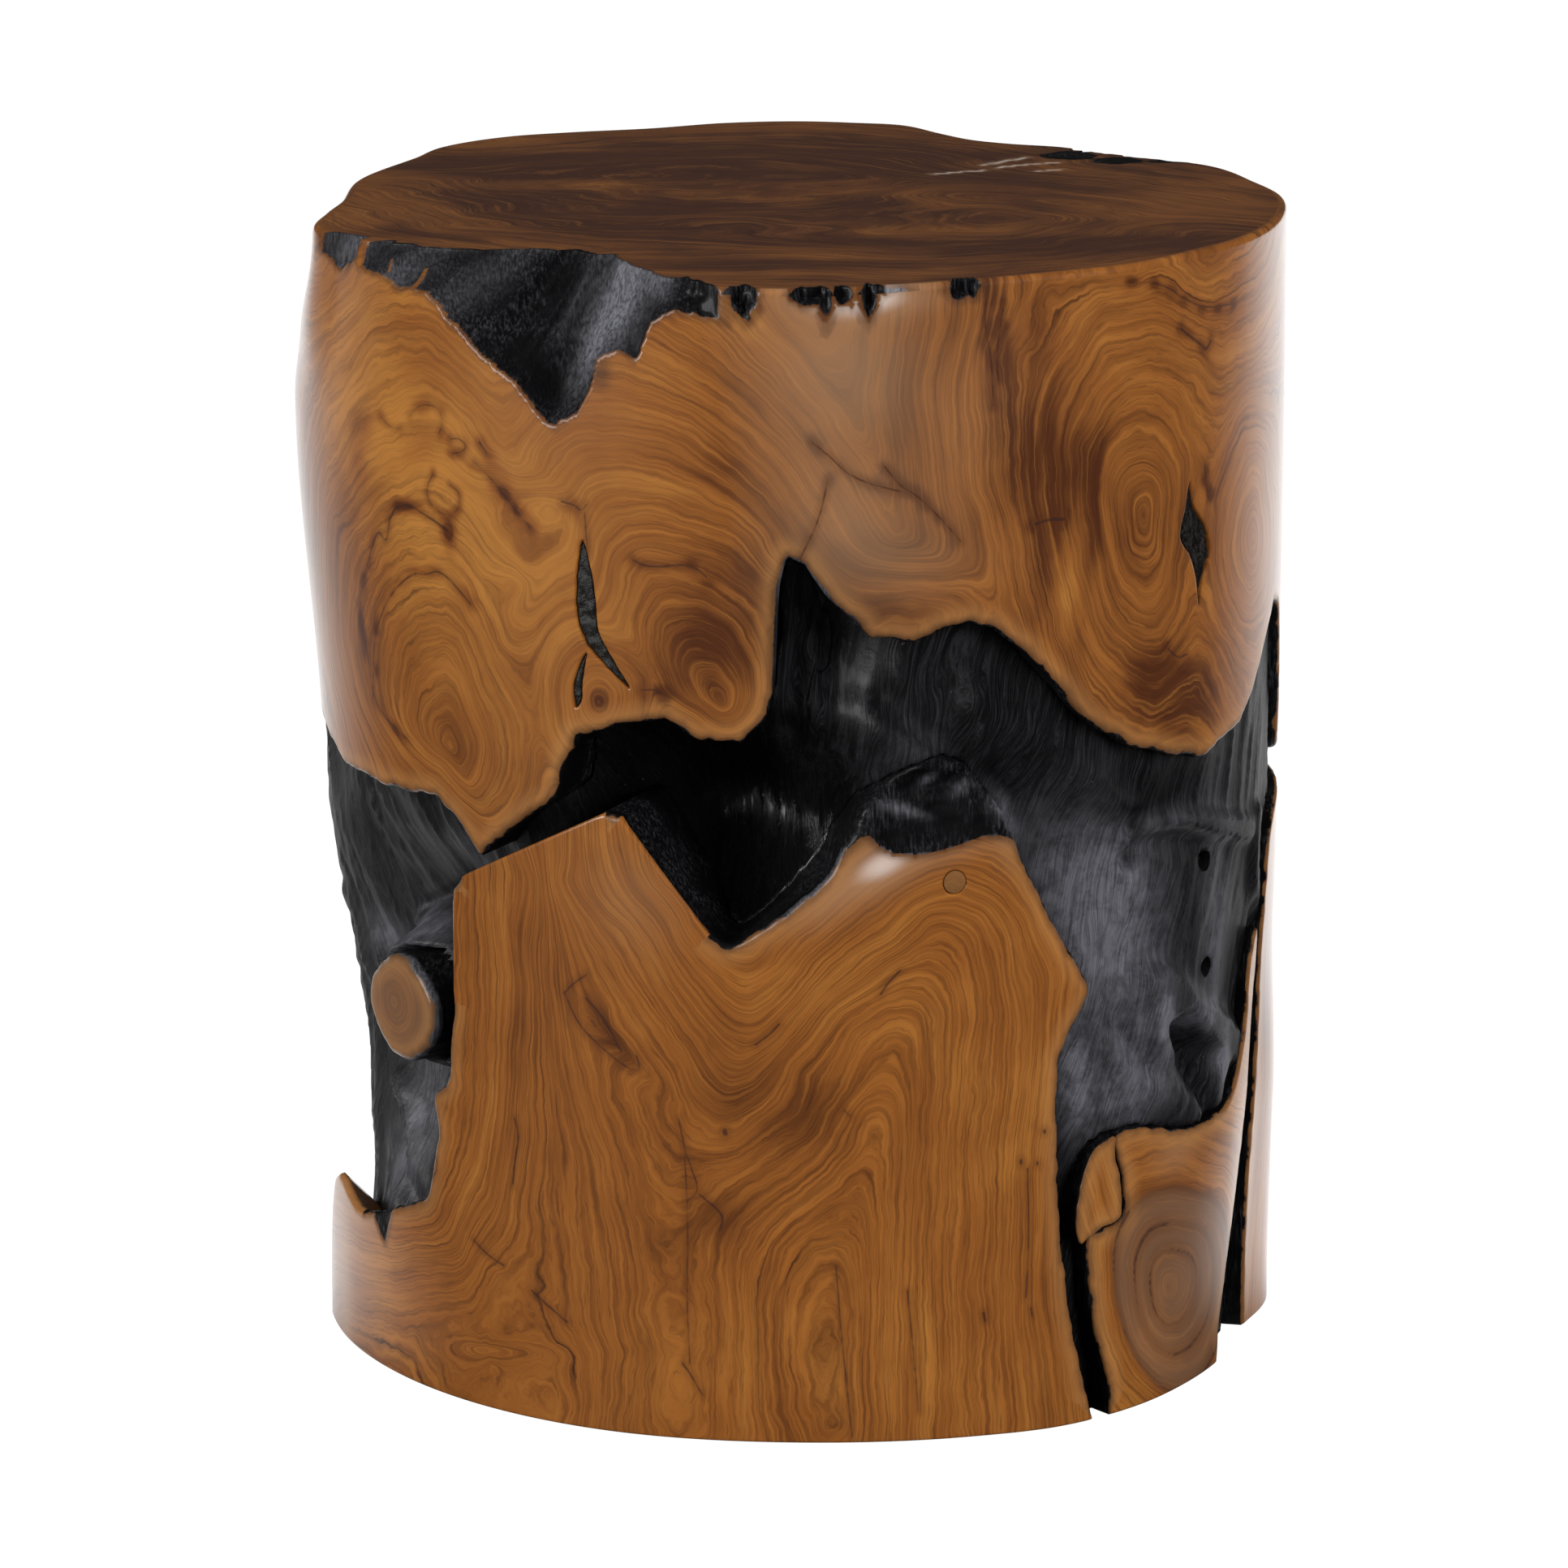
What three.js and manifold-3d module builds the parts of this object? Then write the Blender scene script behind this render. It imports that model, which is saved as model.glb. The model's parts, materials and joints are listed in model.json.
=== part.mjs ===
// Stump stool: a drum about 39 cm across and 46 cm high, made up of pieces of a tree's root.
// A thick crown block carries the seat. It sits on a dark natural root, and sawn blocks of the same
// wood are pinned round that root down to the floor. The whole is sanded round, so every block shares
// one outer surface, and the natural edges and hollows of the root show between the blocks.
//
// Lengths are millimetres. Azimuths are degrees round the upright axis: 0 faces the front (-Y),
// and they grow towards the right (+X). A row of a table is [azimuth, share], and a point of an
// outline on the drum is [azimuth, share of the stool's height].

import * as THREE from 'three';
import { mergeVertices } from 'three/addons/utils/BufferGeometryUtils.js';
import Module from 'manifold-3d';

const wasm = await Module();
wasm.setup();

// Overall size
const stoolHeight = 457;
const drumRadius = 194;
const rimRoundRadius = 3;
const baseRoundRadius = 2;

// Fits
const clearance = 0.3;
const overrun = 20;
const prismReach = 3.2;
const sharpestMitre = 0.2;

// Crown block: its skirt hangs round the root's neck
const skirtThickness = 78;
const roofThickness = 92;
const lipHeight = 10;
const hollowDepth = 51;
const hollowCurve = 0.8;
const neckRadius = drumRadius - skirtThickness;

// Natural root, sawn into two pieces just outside its neck
const rootInset = 11;
const rootHollowDepth = 70;
const blockThickness = 52;
const ledgeHalfHeight = 9;
const splitAzimuth = 48;
const splitOffset = 3;
const splitDistance = neckRadius + splitOffset;

// Burnt shoulder of the front block, which falls back from its sanded face
const shoulderAzimuth = 15;
const shoulderShare = 0.523;
const shoulderLean = 30;

// Pins
const crownDowelDiameter = 14;
const crownDowelLength = 60;
const crownDowelOffset = 41;
const crownDowelRadius = neckRadius - crownDowelOffset;
const sideDowelDiameter = 12;
const sideDowelCoverDepth = 24;
const sideDowelBiteDepth = 18;
const plugDiameter = 9;
const plugBiteDepth = 20;
const stubDiameter = 40;
const stubBiteDepth = 4;

// Screws in the two bored holes
const boreDiameter = 8;
const boreDepth = 14;
const screwHeadDiameter = 7;
const screwHeadThickness = 3;
const screwShankDiameter = 4.4;
const screwBiteDepth = 20;

// Filler in the open checks
const checkDepth = 14;

// Mesh fineness
const frontHalfAngle = 84;
const drumColumns = [70, 24];
const rootColumns = [28, 16];
const drumRows = 16;
const flankRows = 8;
const rimRows = 3;
const rootRows = 20;
const pinSides = 12;

// Plans of the drum at four heights, as shares of its radius
const planHeightShares = [0, 0.5, 0.83, 1];
const basePlanShares = [
  [-180, 0.99], [-150, 0.985], [-120, 0.99], [-83, 0.996], [-60, 0.988], [-25, 0.985], [0, 0.98],
  [20, 1.003], [31, 1.023], [42, 1.015], [53, 0.992], [64, 0.968], [76, 0.94], [88, 0.975],
  [105, 0.985], [130, 0.98], [155, 0.985],
];
const waistPlanShares = [
  [-180, 1], [-135, 0.99], [-90, 0.995], [-45, 0.99], [0, 0.985], [30, 0.985], [60, 0.99], [90, 1], [135, 0.99],
];
const bellyPlanShares = [
  [-180, 1.03], [-150, 1.04], [-120, 1.04], [-90, 1.045], [-60, 1.02], [-30, 1], [0, 0.99], [30, 0.965],
  [60, 0.985], [90, 1.003], [120, 1], [150, 0.95],
];
const seatPlanShares = [
  [-180, 1.044], [-171, 1.034], [-161, 1.002], [-151, 1.024], [-143, 1.05], [-132, 1.04], [-124, 0.994],
  [-107, 0.97], [-92, 0.948], [-83, 0.98], [-74, 1.025], [-66, 1.01], [-50, 1], [-30, 0.99], [-12, 0.98],
  [-2, 0.993], [11, 0.966], [21, 0.95], [32, 0.95], [43, 0.97], [55, 0.973], [66, 0.988], [83, 0.997],
  [96, 1.004], [105, 0.99], [118, 0.984], [125, 0.94], [133, 0.905], [141, 0.9], [148, 0.873], [155, 0.88],
  [161, 0.935], [167, 1.015], [173, 1.03],
];

// The crown's natural lower edge, and the hollow under the seat's front left edge
const crownEdgeShares = [
  [-180, 0.6], [-166, 0.66], [-150, 0.7], [-138, 0.66], [-124, 0.61], [-108, 0.57], [-92, 0.555],
  [-80, 0.548], [-71, 0.529], [-57, 0.531], [-48, 0.533], [-43.5, 0.515], [-40.8, 0.493], [-37.5, 0.51],
  [-32.6, 0.54], [-29.5, 0.556], [-28, 0.59], [-26.6, 0.611], [-22, 0.623], [-15.7, 0.634], [-13, 0.617],
  [-7, 0.614], [-4, 0.633], [-3, 0.66], [-2.7, 0.74], [-1.6, 0.773], [0.4, 0.767], [4, 0.732], [8.1, 0.704],
  [13.2, 0.698], [17, 0.711], [20, 0.712], [23, 0.704], [29.1, 0.668], [35.3, 0.616], [38.4, 0.6],
  [42.1, 0.587], [48, 0.572], [56, 0.559], [60, 0.567], [65, 0.575], [69, 0.595], [73, 0.625], [78, 0.66],
  [82, 0.655], [86, 0.575], [90, 0.51], [101, 0.5], [113, 0.54], [126, 0.6], [140, 0.585], [153, 0.545],
  [166, 0.56],
];
const hollowRimShares = [
  [-180, 0], [-72, 0], [-66, 0.1], [-61, 0.2], [-56, 0.3], [-51, 0.45], [-45, 0.78], [-39, 1], [-31, 0.95],
  [-27, 0.78], [-21, 0.52], [-17, 0.24], [-13, 0.17], [-9, 0], [180, 0],
];
const hollowFootShares = [
  [-180, 0.93], [-90, 0.93], [-72, 0.985], [-66, 0.973], [-62.5, 0.985], [-59, 0.978], [-52, 0.973],
  [-48, 0.972], [-44, 0.953], [-40, 0.933], [-35, 0.91], [-32, 0.891], [-29.1, 0.875], [-26.5, 0.889],
  [-24.6, 0.91], [-24, 0.936], [-21, 0.944], [-19, 0.94], [-17.5, 0.97], [-14, 0.982], [-8, 0.97],
  [10, 0.93], [180, 0.93],
];

// Height up to which the root is cut back for the blocks that are pinned on it
const ledgeShares = [
  [-180, 0.25], [-172, 0.28], [-163, 0.35], [-152, 0.31], [-140, 0.34], [-130, 0.41], [-115, 0.43],
  [-106, 0.37], [-102, 0.1], [-98, 0], [-90, 0], [-86, 0.06], [-80, 0.1], [-60, 0.12], [-52, 0.14],
  [-48, 0.38], [-44, 0.45], [-36, 0.47], [-24, 0.48], [-12, 0.43], [-8, 0.41], [0, 0.45], [8, 0.49],
  [24, 0.49], [30, 0.43], [35, 0.36], [38, 0.23], [50, 0.21], [62, 0.21], [68, 0.24], [74, 0.32], [77, 0.42],
  [84, 0.45], [95, 0.46], [110, 0.44], [120, 0.39], [126, 0.28], [130, 0.12], [134, 0], [170, 0], [178, 0.1],
];

// Hollows and swellings of the root: where each lies, how far it spreads and how deep it goes
const rootHollows = [
  { azimuth: -11, heightShare: 0.53, halfAngle: 27, halfHeightShare: 0.135, depthShare: 1 },
  { azimuth: 3, heightShare: 0.69, halfAngle: 10, halfHeightShare: 0.1, depthShare: 0.23 },
  { azimuth: -50, heightShare: 0.29, halfAngle: 42, halfHeightShare: 0.3, depthShare: 0.6 },
  { azimuth: -104, heightShare: 0.1, halfAngle: 30, halfHeightShare: 0.34, depthShare: 0.4 },
  { azimuth: -57, heightShare: 0.336, halfAngle: 15, halfHeightShare: 0.08, depthShare: -0.5 },
  { azimuth: 28, heightShare: 0.47, halfAngle: 16, halfHeightShare: 0.16, depthShare: 0.2 },
  { azimuth: 50, heightShare: 0.335, halfAngle: 9, halfHeightShare: 0.06, depthShare: -0.12 },
  { azimuth: 58, heightShare: 0.315, halfAngle: 5, halfHeightShare: 0.045, depthShare: 0.17 },
  { azimuth: 76, heightShare: 0.28, halfAngle: 4, halfHeightShare: 0.2, depthShare: 0.31 },
  { azimuth: 158, heightShare: 0.3, halfAngle: 30, halfHeightShare: 0.42, depthShare: 0.63 },
  { azimuth: -145, heightShare: 0.56, halfAngle: 34, halfHeightShare: 0.12, depthShare: 0.43 },
  { azimuth: 118, heightShare: 0.52, halfAngle: 26, halfHeightShare: 0.08, depthShare: 0.31 },
];

// Outlines of the blocks on the drum's surface
const frontBlockShares = [
  [-83.5, 0], [-83, 0.06], [-81.5, 0.093], [-77.2, 0.121], [-73.1, 0.146], [-70.4, 0.158], [-67.6, 0.16],
  [-65.1, 0.156], [-62.7, 0.15], [-56.5, 0.151], [-52.9, 0.161], [-50.6, 0.173], [-49.6, 0.202],
  [-48.5, 0.238], [-49, 0.267], [-46.4, 0.286], [-46.1, 0.317], [-45.2, 0.36], [-45.1, 0.456],
  [-43.4, 0.472], [-23.2, 0.547], [-21.2, 0.544], [-10.7, 0.448], [-9.3, 0.441], [-7.5, 0.44],
  [-3.3, 0.46], [0.4, 0.48], [3.1, 0.499], [5.4, 0.53], [7.7, 0.557], [10.5, 0.574], [13.3, 0.587],
  [16.1, 0.594], [18.6, 0.591], [21, 0.583], [23.5, 0.56], [25.1, 0.538], [26.7, 0.504], [30.5, 0.451],
  [33.9, 0.409], [35.9, 0.385], [35.3, 0.368], [32, 0.332], [31.2, 0.29], [31.3, 0.19], [32.3, 0.111],
  [33.5, 0.066], [35.7, 0],
];
const rightFootShares = [
  [38.2, 0], [37.8, 0.03], [36, 0.075], [35.5, 0.107], [33.8, 0.157], [33.3, 0.183], [34.2, 0.211],
  [35.3, 0.231], [36.8, 0.243], [39.4, 0.246], [44.2, 0.248], [48.5, 0.239], [53.3, 0.23], [58.7, 0.231],
  [63.1, 0.234], [66.3, 0.252], [68.2, 0.271], [69.9, 0.297], [71.2, 0.35], [73.6, 0.375], [74.3, 0.35],
  [73, 0.297], [71.9, 0.24], [70, 0.177], [67.3, 0.124], [65, 0.083], [63, 0.043], [62, 0],
];
const footPatchShares = [
  [33.8, 0.16], [33.3, 0.183], [34.2, 0.211], [35.3, 0.231], [36.8, 0.243], [39.3, 0.246], [39.2, 0.229],
  [40, 0.21], [40.3, 0.184], [39.8, 0.174], [37.2, 0.168], [34.9, 0.163],
];
const rearRightShares = [
  [77.5, 0], [76.5, 0.1], [76, 0.2], [76.5, 0.3], [77, 0.4], [78.5, 0.455], [84, 0.475], [95, 0.482],
  [108, 0.468], [118, 0.43], [124, 0.36], [127, 0.25], [126, 0.12], [129, 0],
];
const rearLeftShares = [
  [-104, 0], [-102, 0.1], [-106, 0.22], [-103, 0.33], [-108, 0.41], [-118, 0.45], [-132, 0.43],
  [-140, 0.36], [-152, 0.33], [-163, 0.37], [-172, 0.3], [-174, 0.18], [-170, 0.08], [-172, 0],
];

// Open checks in the crown, filled flush
const longCheckShares = [
  [-25.3, 0.778], [-25.9, 0.776], [-26.5, 0.735], [-26.3, 0.712], [-25.4, 0.694], [-23.4, 0.678],
  [-20, 0.657], [-22.5, 0.687], [-23.8, 0.706], [-24.1, 0.735], [-24.8, 0.765],
];
const shortCheckShares = [
  [-25.2, 0.684], [-26.2, 0.672], [-27, 0.654], [-26.8, 0.636], [-26, 0.643], [-25.8, 0.66],
];
const eyeCheckShares = [
  [52.8, 0.803], [52, 0.782], [51.1, 0.758], [52.9, 0.739], [54.1, 0.719], [54.7, 0.693], [55.5, 0.717],
  [56.9, 0.733], [56.7, 0.751], [55.1, 0.769], [53.4, 0.784],
];

// Places of the pins: [azimuth, share of the height]
const crownDowelAzimuths = [45, 135, 225, 315];
const plugPlaceShares = [18.1, 0.49];
const stubPlaceShares = [-57, 0.336];
const screwPlaceShares = [[58.6, 0.461], [59.4, 0.365]];
const sideDowelPlaces = [
  { name: 'front_dowel_left', block: 'front_block', placeShares: [-36, 0.36] },
  { name: 'front_dowel_middle', block: 'front_block', placeShares: [-4, 0.24] },
  { name: 'front_dowel_low', block: 'front_block', placeShares: [20, 0.11] },
  { name: 'foot_dowel_upper', block: 'right_foot', placeShares: [57, 0.16] },
  { name: 'foot_dowel_lower', block: 'right_foot', placeShares: [48, 0.055] },
  { name: 'rear_right_dowel_upper', block: 'rear_right_block', placeShares: [110, 0.33] },
  { name: 'rear_right_dowel_lower', block: 'rear_right_block', placeShares: [95, 0.11] },
  { name: 'rear_left_dowel_upper', block: 'rear_left_block', placeShares: [-122, 0.31] },
  { name: 'rear_left_dowel_lower', block: 'rear_left_block', placeShares: [-150, 0.12] },
];

// Finishes
const woodFinish = { color: '#9c5a22', roughness: 0.38, metalness: 0 };
const darkWoodFinish = { color: '#7a4219', roughness: 0.4, metalness: 0 };
const rootFinish = { color: '#15171b', roughness: 0.5, metalness: 0 };
const dowelFinish = { color: '#b98548', roughness: 0.6, metalness: 0 };
const fillerFinish = { color: '#17130f', roughness: 0.55, metalness: 0 };
const screwFinish = { color: '#8d8d8a', roughness: 0.35, metalness: 0.9 };

// A table round the axis as a function of the azimuth, smooth or straight between its rows
function roundTable(rowShares, Interpolant = THREE.CubicInterpolant) {
  const turn = 360;
  const azimuths = [];
  const shares = [];
  for (const lap of [-turn, 0, turn]) {
    for (const [azimuth, share] of rowShares) {
      const repeated = azimuth + lap === azimuths[azimuths.length - 1];
      if (!repeated) {
        azimuths.push(azimuth + lap);
        shares.push(share);
      }
    }
  }
  const curve = new Interpolant(azimuths, shares, 1);
  return (azimuth) => curve.evaluate(azimuth)[0];
}

const plans = [basePlanShares, waistPlanShares, bellyPlanShares, seatPlanShares].map((rows) => roundTable(rows));
const crownEdge = roundTable(crownEdgeShares, THREE.LinearInterpolant);
const hollowRim = roundTable(hollowRimShares, THREE.LinearInterpolant);
const hollowFoot = roundTable(hollowFootShares, THREE.LinearInterpolant);
const ledge = roundTable(ledgeShares, THREE.LinearInterpolant);

// Radius of the sanded drum, blended from the plan below to the plan above
function drumRadiusAt(azimuth, height) {
  const share = THREE.MathUtils.clamp(height / stoolHeight, 0, 1);
  const last = planHeightShares.length - 1;
  let lower = 0;
  while (lower < last - 1 && share > planHeightShares[lower + 1]) lower += 1;
  const blend = THREE.MathUtils.smoothstep(share, planHeightShares[lower], planHeightShares[lower + 1]);
  return drumRadius * THREE.MathUtils.lerp(plans[lower](azimuth), plans[lower + 1](azimuth), blend);
}

// Radius of the crown: the drum, less the scooped hollow under the seat's edge
function crownRadiusAt(azimuth, height) {
  const foot = hollowFoot(azimuth) * stoolHeight;
  const rise = THREE.MathUtils.clamp((height - foot) / (stoolHeight - foot), 0, 1);
  const depth = hollowDepth * hollowRim(azimuth) * Math.pow(rise, hollowCurve);
  return drumRadiusAt(azimuth, height) - depth;
}

// A smooth bump of the root, 1 at its middle and 0 at its outline
function bumpAt(azimuth, height, bump) {
  const turned = THREE.MathUtils.euclideanModulo(azimuth - bump.azimuth + 180, 360) - 180;
  const across = turned / bump.halfAngle;
  const up = (height / stoolHeight - bump.heightShare) / bump.halfHeightShare;
  const inside = Math.max(0, 1 - across * across - up * up);
  return inside * inside;
}

// Radius of the natural root, stepped in where a block is pinned on it
function rootRadiusAt(azimuth, height) {
  const hollowed = rootHollows.reduce((sum, bump) => sum + bump.depthShare * bumpAt(azimuth, height, bump), 0);
  const natural = rootInset + rootHollowDepth * hollowed;
  const ledgeHeight = ledge(azimuth) * stoolHeight;
  const below = 1 - THREE.MathUtils.smoothstep(height, ledgeHeight - ledgeHalfHeight, ledgeHeight + ledgeHalfHeight);
  const seated = ledgeHeight > ledgeHalfHeight ? below : 0;
  const recess = Math.max(natural, THREE.MathUtils.lerp(natural, blockThickness, seated));
  return drumRadiusAt(azimuth, height) - recess;
}

function pointAt(azimuth, radius, height) {
  const angle = THREE.MathUtils.degToRad(azimuth);
  return new THREE.Vector3(radius * Math.sin(angle), -radius * Math.cos(angle), height);
}

// Azimuths all round, with one count of columns over the front and one over the back
function azimuthsRound([frontCount, backCount]) {
  const front = Array.from({ length: frontCount }, (_, i) => (2 * i / frontCount - 1) * frontHalfAngle);
  const backAngle = 360 - 2 * frontHalfAngle;
  const back = Array.from({ length: backCount }, (_, i) => frontHalfAngle + (i / backCount) * backAngle);
  return [...front, ...back];
}

function solidFrom(positions, faces) {
  const geometry = new THREE.BufferGeometry();
  geometry.setAttribute('position', new THREE.Float32BufferAttribute(positions, 3));
  geometry.setIndex(faces);
  return solidOf(geometry);
}

// A closed geometry as a solid that can be cut and joined
function solidOf(geometry) {
  geometry.deleteAttribute('normal');
  geometry.deleteAttribute('uv');
  const merged = mergeVertices(geometry);
  const vertProperties = new Float32Array(merged.attributes.position.array);
  const triVerts = new Uint32Array(merged.index.array);
  return new wasm.Manifold(new wasm.Mesh({ numProp: 3, vertProperties, triVerts }));
}

// A revolve whose profile changes with the azimuth. A profile is a list of [radius, height] that runs
// from the lower point on the axis, round the outside, to the upper one.
function revolveChanging(azimuths, lowHeight, highHeight, profileAt) {
  const positions = [0, 0, lowHeight];
  const faces = [];
  const rows = profileAt(azimuths[0]).length;
  for (const azimuth of azimuths) {
    for (const [radius, height] of profileAt(azimuth)) {
      positions.push(...pointAt(azimuth, radius, height).toArray());
    }
  }
  const top = positions.length / 3;
  positions.push(0, 0, highHeight);
  azimuths.forEach((_, column) => {
    const here = 1 + column * rows;
    const next = 1 + ((column + 1) % azimuths.length) * rows;
    faces.push(0, next, here);
    for (let row = 0; row < rows - 1; row += 1) {
      faces.push(here + row, next + row, next + row + 1);
      faces.push(here + row, next + row + 1, here + row + 1);
    }
    faces.push(here + rows - 1, next + rows - 1, top);
  });
  return solidFrom(positions, faces);
}

// Heights in equal steps between two heights, the first left out
function stepsBetween(from, to, count) {
  return Array.from({ length: count }, (_, i) => THREE.MathUtils.lerp(from, to, (i + 1) / count));
}

// The whole sanded drum, which the blocks are cut from
function makeDrum() {
  const heights = [baseRoundRadius, ...stepsBetween(baseRoundRadius, stoolHeight, drumRows)];
  return revolveChanging(azimuthsRound(drumColumns), 0, stoolHeight, (azimuth) => [
    [drumRadiusAt(azimuth, 0) - baseRoundRadius, 0],
    ...heights.map((height) => [drumRadiusAt(azimuth, height), height]),
  ]);
}

// The crown: seat face, rounded rim, hollow, flank, natural lower edge, lip and socket for the root's neck.
// With a gap it is the space that the crown needs, so the root that is cut by it stays clear.
function makeCrown(gap) {
  const ceiling = stoolHeight - roofThickness - gap;
  return revolveChanging(azimuthsRound(drumColumns), ceiling, stoolHeight, (azimuth) => {
    const edge = crownEdge(azimuth) * stoolHeight - gap;
    const foot = hollowFoot(azimuth) * stoolHeight;
    const rim = stoolHeight - rimRoundRadius;
    const side = [edge, ...stepsBetween(edge, foot, flankRows), ...stepsBetween(foot, rim, rimRows)];
    const rimRadius = crownRadiusAt(azimuth, rim);
    return [
      [neckRadius - gap, ceiling],
      [neckRadius - gap, Math.min(edge + lipHeight, ceiling - lipHeight)],
      ...side.map((height) => [crownRadiusAt(azimuth, height), height]),
      [rimRadius - rimRoundRadius, stoolHeight],
      [rimRadius / 2, stoolHeight],
    ];
  });
}

// The natural root with its round neck. With a gap it is the space that the root needs.
function makeRoot(gap) {
  const neckTop = stoolHeight - roofThickness - clearance;
  const heights = [0, ...stepsBetween(0, neckTop, rootRows)];
  return revolveChanging(azimuthsRound(rootColumns), 0, neckTop, (azimuth) =>
    heights.map((height) => [rootRadiusAt(azimuth, height) + gap, height]),
  );
}

// A prism whose sides run straight towards the axis, through an outline on the drum. Its middle ring
// lies just outside the drum, so that a long straight side stays straight there.
function makeRadialPrism(outlineShares, nearRadius) {
  const contour = outlineShares.map(([azimuth, share]) => new THREE.Vector2(azimuth, share * stoolHeight));
  if (THREE.ShapeUtils.isClockWise(contour)) contour.reverse();
  const count = contour.length;
  const radii = [nearRadius, drumRadius + overrun, drumRadius * prismReach];
  const positions = [];
  for (const radius of radii) {
    for (const corner of contour) positions.push(...pointAt(corner.x, radius, corner.y).toArray());
  }
  const faces = [];
  const last = (radii.length - 1) * count;
  for (const [a, b, c] of THREE.ShapeUtils.triangulateShape(contour, [])) {
    faces.push(a, c, b);
    faces.push(last + a, last + b, last + c);
  }
  for (let ring = 0; ring < last; ring += count) {
    for (let i = 0; i < count; i += 1) {
      const next = (i + 1) % count;
      faces.push(ring + i, ring + next, ring + count + next);
      faces.push(ring + i, ring + count + next, ring + count + i);
    }
  }
  return solidFrom(positions, faces);
}

// An outline on the drum with its sides pushed outwards by a distance
function grownOutline(outlineShares, distance) {
  const perDegree = THREE.MathUtils.degToRad(drumRadius);
  const flat = outlineShares.map(([azimuth, share]) => new THREE.Vector2(azimuth * perDegree, share * stoolHeight));
  const turn = THREE.ShapeUtils.isClockWise(flat) ? -1 : 1;
  const sideNormal = (from, to) => {
    const along = to.clone().sub(from).normalize();
    return new THREE.Vector2(along.y * turn, -along.x * turn);
  };
  return flat.map((corner, i) => {
    const before = sideNormal(flat[(i + flat.length - 1) % flat.length], corner);
    const after = sideNormal(corner, flat[(i + 1) % flat.length]);
    const mitre = distance / Math.max(1 + before.dot(after), sharpestMitre);
    const grown = corner.clone().add(before.add(after).multiplyScalar(mitre));
    return [grown.x / perDegree, grown.y / stoolHeight];
  });
}

// A turned piece laid on a line towards the axis. Its profile is a list of
// [radius of the piece, distance from the stool's axis], from the outer end to the inner one.
function layInwards(profile, azimuth, height) {
  const points = profile.map(([radius, distance]) => new THREE.Vector2(radius, -distance));
  const lathe = new THREE.LatheGeometry(points, pinSides);
  const inward = pointAt(azimuth, -1, 0);
  const upright = new THREE.Vector3(0, 0, 1);
  const across = new THREE.Vector3().crossVectors(inward, upright);
  lathe.applyMatrix4(new THREE.Matrix4().makeBasis(across, inward, upright));
  lathe.translate(0, 0, height);
  return solidOf(lathe);
}

function rodProfile(diameter, outer, inner) {
  return [[0, outer], [diameter / 2, outer], [diameter / 2, inner], [0, inner]];
}

function makeUprightRod(diameter, length, azimuth, middleHeight) {
  const rod = new THREE.CylinderGeometry(diameter / 2, diameter / 2, length, pinSides);
  rod.rotateX(Math.PI / 2);
  const middle = pointAt(azimuth, crownDowelRadius, middleHeight);
  rod.translate(middle.x, middle.y, middle.z);
  return solidOf(rod);
}

// Half of space on one side of the saw cut that parts the right root from the core
function makeSplitSide(outer) {
  const reach = 4 * drumRadius;
  const height = 2 * stoolHeight;
  const slab = new THREE.BoxGeometry(reach, reach, height);
  const shift = reach / 2 + clearance / 2;
  const towards = outer ? splitDistance + shift : splitDistance - shift;
  slab.rotateZ(THREE.MathUtils.degToRad(splitAzimuth - 90));
  const middle = pointAt(splitAzimuth, towards, stoolHeight / 2);
  slab.translate(middle.x, middle.y, middle.z);
  return solidOf(slab);
}

// All that lies outside a plane that leans inwards from a level line on the drum's face
function makeLeaningCut(azimuth, height, lean) {
  const reach = 4 * drumRadius;
  const slab = new THREE.BoxGeometry(reach, reach, reach);
  slab.translate(0, -reach / 2, 0);
  slab.rotateX(THREE.MathUtils.degToRad(-lean));
  slab.translate(0, -drumRadiusAt(azimuth, height), height);
  slab.rotateZ(THREE.MathUtils.degToRad(azimuth));
  return solidOf(slab);
}

const pieces = new Map();

function addPiece(name, solid, finish) {
  pieces.set(name, { solid, finish });
}

function cutFrom(hosts, tool) {
  for (const name of hosts) {
    const piece = pieces.get(name);
    piece.solid = piece.solid.subtract(tool);
  }
}

// Crown, and the root in its two pieces
const drum = makeDrum();
const rootSpace = makeRoot(clearance);
const root = makeRoot(0).subtract(makeCrown(clearance));
addPiece('crown_block', makeCrown(0), darkWoodFinish);
addPiece('root_core', root.intersect(makeSplitSide(false)), rootFinish);
addPiece('root_right', root.intersect(makeSplitSide(true)), rootFinish);

// Blocks cut from the drum and scribed to the root
const prismNear = neckRadius - ledgeHalfHeight;
const blockShares = {
  front_block: frontBlockShares,
  right_foot: rightFootShares,
  foot_patch: footPatchShares,
  rear_right_block: rearRightShares,
  rear_left_block: rearLeftShares,
};
for (const [name, outlineShares] of Object.entries(blockShares)) {
  const prism = makeRadialPrism(outlineShares, prismNear);
  addPiece(name, drum.intersect(prism).subtract(rootSpace), woodFinish);
}
cutFrom(['right_foot'], makeRadialPrism(grownOutline(footPatchShares, clearance), prismNear));
cutFrom(['front_block'], makeLeaningCut(shoulderAzimuth, shoulderShare * stoolHeight, shoulderLean));

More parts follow.
